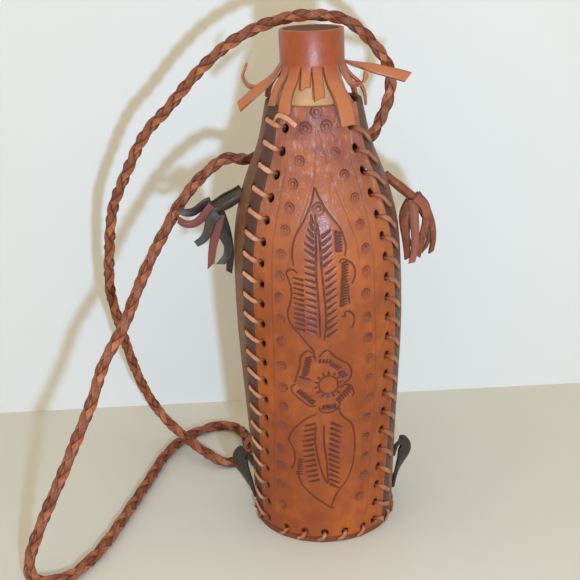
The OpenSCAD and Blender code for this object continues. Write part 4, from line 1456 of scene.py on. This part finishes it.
# %% [markdown]
# ## Tassels
#
# A strip of leather is rolled up tightly and its tail pulled through the gusset; the free end of
# the roll is cut into strips that fall. The left one is dark grey, the right one orange. A plain
# rod would do from afar, but the end of the roll shows its turns, so it is a sheet on a spiral.

# %% Tassel leathers
# Each edge colour is painted shade along the strips' edges and in their creases
grey_leather = leather("grey_leather", colour(88, 68, 50), colour(48, 36, 28), 0.42, 1.0, 0.1,
                       raw=colour(132, 68, 60), edge=colour(52, 34, 30), patch=60.0)
orange_leather = leather("orange_leather", colour(178, 94, 52), colour(108, 52, 32), 0.36, 0.9, 0.1,
                         raw=colour(156, 88, 62), edge=colour(74, 36, 26), patch=90.0)

# %% Tassel sizes
TASSEL_LEN, TASSEL_W, TASSEL_T, STRIP_BENDS = 40.0, 7.6, 1.2, 5
# Place round the roll's end in degrees, length share, angle out from straight down at the root, the
# middle and the tip, turn of the face from the front, drift to the back, and whether the flesh side
# shows
LEFT_STRIPS = [
    (-10, 0.54, 90, 50, 112, -40, 0, 0), (-60, 0.66, 50, 45, 128, -30, -0.08, 1),
    (-120, 0.6, 70, 10, 60, 12, -0.06, 0), (-149, 0.8, 9, 16, 8, -8, -0.1, 1),
    (178, 0.84, 35, -38, 42, 16, -0.1, 0), (150, 1, -22, -11, 7, -14, 0.06, 0),
]
RIGHT_STRIPS = [
    (-36, 1, 44, 22, -9, 34, 0.02, 0), (-63, 1, 77, -11, -15, 12, -0.08, 0),
    (-113, 0.98, -3, 6, -13, -12, -0.12, 1), (-160, 0.94, -56, 8, 3, -30, -0.06, 0),
    (179, 0.76, 16, -18, 18, 20, 0.06, 1), (68, 1, 23, 29, -18, 50, 0.12, 0),
]
LEFT_TASSEL = dict(name="left", fall=28.0, length=19.0, root=10.6, end=10.4, strips=LEFT_STRIPS,
                   slot="grey_leather", recipe=grey_leather)
RIGHT_TASSEL = dict(name="right", fall=41.0, length=23.0, root=6.4, end=7.0, strips=RIGHT_STRIPS,
                    slot="orange_leather", recipe=orange_leather)


# %% Roll
ROLL_TURNS, ROLL_T, ROLL_SHEET, ROLL_COUNT, ROLL_STEPS = 2.2, 1.1, 1.0, 72, 24
ROLL_CORE, ROLL_PINCH = 0.25, 0.05


def rolled(start, along, length, root_d, end_d):
    """A strip rolled up: a spiral section carried along a line, opened out to its end's size."""
    up_way = np.cross(BACK, along)
    bm = bmesh.new()
    bmesh.ops.create_grid(bm, x_segments=ROLL_COUNT, y_segments=ROLL_STEPS, size=0.5)
    for v in bm.verts:
        i, j = round((v.co.x + 0.5) * ROLL_COUNT), round((v.co.y + 0.5) * ROLL_STEPS)
        a, share = 2 * math.pi * ROLL_TURNS * i / ROLL_COUNT, j / ROLL_STEPS
        radius = (root_d + (end_d - root_d) * share) / 2 - ROLL_T / 2
        reach = ROLL_CORE + (1 - ROLL_CORE) * i / ROLL_COUNT
        out = radius * reach * (1 - ROLL_PINCH * math.sin(share * 9))
        spoke = math.cos(a) * BACK + math.sin(a) * up_way
        v.co = (start + along * length * share + out * spoke) * MM
    helper = new_object("roll", bm)
    solid = helper.modifiers.new("thickness", "SOLIDIFY")
    solid.thickness, solid.offset = ROLL_SHEET * MM, 0
    thick = bmesh.new()
    thick.from_mesh(settled_mesh(helper))
    bpy.data.objects.remove(helper)
    bmesh.ops.recalc_face_normals(thick, faces=thick.faces)
    return thick


# %% Tassels
# How far off the gusset a roll's root is and how far behind its root it starts, then the tail's
# radius and how far in it goes
ROLL_OFF, ROLL_SUNK, TAIL_THICK, TAIL_REACH = 0.3, 1.5, 2.4, 8.0


def tassel_line(row, way, tip, along, radius):
    """Places of a tassel strip and the directions in which it is wide."""
    place, share, root, middle, end, turn, drift, _ = row
    a, face = math.radians(place), math.radians(turn)
    spoke = math.cos(a) * np.cross(along, way * BACK) + math.sin(a) * BACK
    points = [tip - TASSEL_T * along + radius * spoke]
    step = share * TASSEL_LEN / STRIP_BENDS
    for k in range(1, STRIP_BENDS + 1):
        drop = math.radians(bow(root, middle, end, k / STRIP_BENDS))
        points.append(points[-1] + step * np.array([way * math.sin(drop), drift, -math.cos(drop)]))
    line = curve_through(points, 5)
    return line, np.cross(headings(line), [way * math.sin(face), -math.cos(face), 0])


def tassel(way, facts):
    fall, length, name = math.radians(facts["fall"]), facts["length"], facts["name"]
    root = skin_place(way * 90, TAIL_UP[way], ROLL_OFF)
    along = np.array([way * math.cos(fall), 0, -math.sin(fall)])
    tip = root + length * along
    tail = [root + np.array([-way * d, 0, 0]) for d in np.linspace(-0.5, TAIL_REACH, 6)]
    start = root - along * ROLL_SUNK
    parts = [
        rolled(start, along, length + ROLL_SUNK, facts["root"], facts["end"]),
        strip(tail, BACK, round_section(TAIL_THICK, 16)),
    ]
    section, dice = flat_section(TASSEL_W, TASSEL_T, 0.3, 4), random.Random(11 + way)
    for row in facts["strips"]:
        line, guides = tassel_line(row, way, tip, along, (facts["end"] - TASSEL_T) / 2)
        share = np.linspace(0, 1, len(line))
        wide = 1 - 0.48 * share**0.8 + 0.12 * np.sin(share * math.pi) * dice.uniform(-0.5, 1)
        curve, slant = dice.uniform(-0.12, 0.2), dice.uniform(-2.5, 2.5)
        parts.append(strip(line, guides, section, wide, curve, slant, bool(row[-1])))
    finish_piece(name + "_fringe_tassel", joined(parts), facts["recipe"], "carrier",
                 name + "_tassel")


tassel(-1, LEFT_TASSEL)
tassel(1, RIGHT_TASSEL)

# %% [markdown]
# ## Keeper loops
#
# Low on each gusset a strip of dark leather goes out at one slit and back in at another, and
# stands off as a small loop, twisted so that its face shows at the front. A bent ring would have
# both ends at one height; the strip maker takes the loop's real line and its twist as they are.

# %% Keepers
KEEPER_W, KEEPER_T, KEEPER_LOW, KEEPER_HIGH = 12.0, 2.2, 14.0, 38.0
KEEPER_TIP, KEEPER_REACH, KEEPER_TURN, KEEPER_IN = 45.0, 9.8, 55.0, 5.2
olive_leather = leather("olive_leather", colour(70, 58, 44), colour(44, 35, 28), 0.45, 1.0,
                        patch=60.0)
# Share of the reach and share of the rise, from the lower slit round the loop to the upper one
KEEPER = [
    (0.16, 0.05), (0.56, 0.42), (0.84, 0.66), (0.93, 0.83), (0.82, 0.95), (0.62, 1), (0.36, 0.88),
    (0.18, 0.78),
]


def keeper(way, name):
    low_r, high_r = float(wall_r(KEEPER_LOW)), float(wall_r(KEEPER_HIGH))
    rise = KEEPER_TIP - KEEPER_T / 2 - KEEPER_LOW
    flat = [(low_r - KEEPER_IN, KEEPER_LOW, 0), (low_r, KEEPER_LOW, 0)]
    flat += [(low_r + x * KEEPER_REACH, KEEPER_LOW + u * rise, x * KEEPER_TURN) for x, u in KEEPER]
    flat += [(high_r, KEEPER_HIGH, 0), (high_r - KEEPER_IN, KEEPER_HIGH, 0)]
    line = curve_through([(way * x, 0.0, z) for x, z, _ in flat], 5)
    turns = [math.radians(a) for _, _, a in flat]
    guides = curve_through([(way * math.sin(a), math.cos(a), 0.0) for a in turns], 5)
    bm = strip(line, guides, flat_section(KEEPER_W, KEEPER_T, 0.25, 3))
    finish_piece(name + "_keeper_loop", bm, olive_leather, "carrier",
                 name + "_keeper")


keeper(-1, "left")
keeper(1, "right")

# %% [markdown]
# ## Knots
#
# Inside the back wall each end of the strap is tied in a round knot, too big for its hole. A ball
# would be enough so far out of sight, but a closed curve with three lobes is as quick, and looks
# tied to anyone who peers in.

# %% Strap knots
KNOT_LEN, KNOT_R, KNOT_SWING, KNOT_CORD_R, KNOT_CLEAR, KNOT_RISE = 10.0, 2.6, 1.0, 2.0, 0.6, 3.75


def knot(way, name):
    """A closed trefoil of cord that lies against the inside of the back wall."""
    out, near = ray(180 + way * STRAP_AZ), STRAP_UP + KNOT_RISE
    face = float(wall_r(near) - LEATHER / np.cos(wall_lean(near))) - KNOT_CLEAR
    middle = out * (face - KNOT_LEN / 2) + STRAP_UP * UP
    a = np.linspace(0, 2 * math.pi, 97)[:, None]
    spoke = np.cos(2 * a) * UP + np.sin(2 * a) * np.cross(out, UP)
    line = middle + (KNOT_R + KNOT_SWING * np.cos(3 * a)) * spoke + KNOT_R * np.sin(3 * a) * out
    bm = strip(line, out, round_section(KNOT_CORD_R, 10))
    finish_piece(name + "_end_knot", bm, braid, "carrier", name + "_strap_knot", 60)


knot(1, "left")
knot(-1, "right")
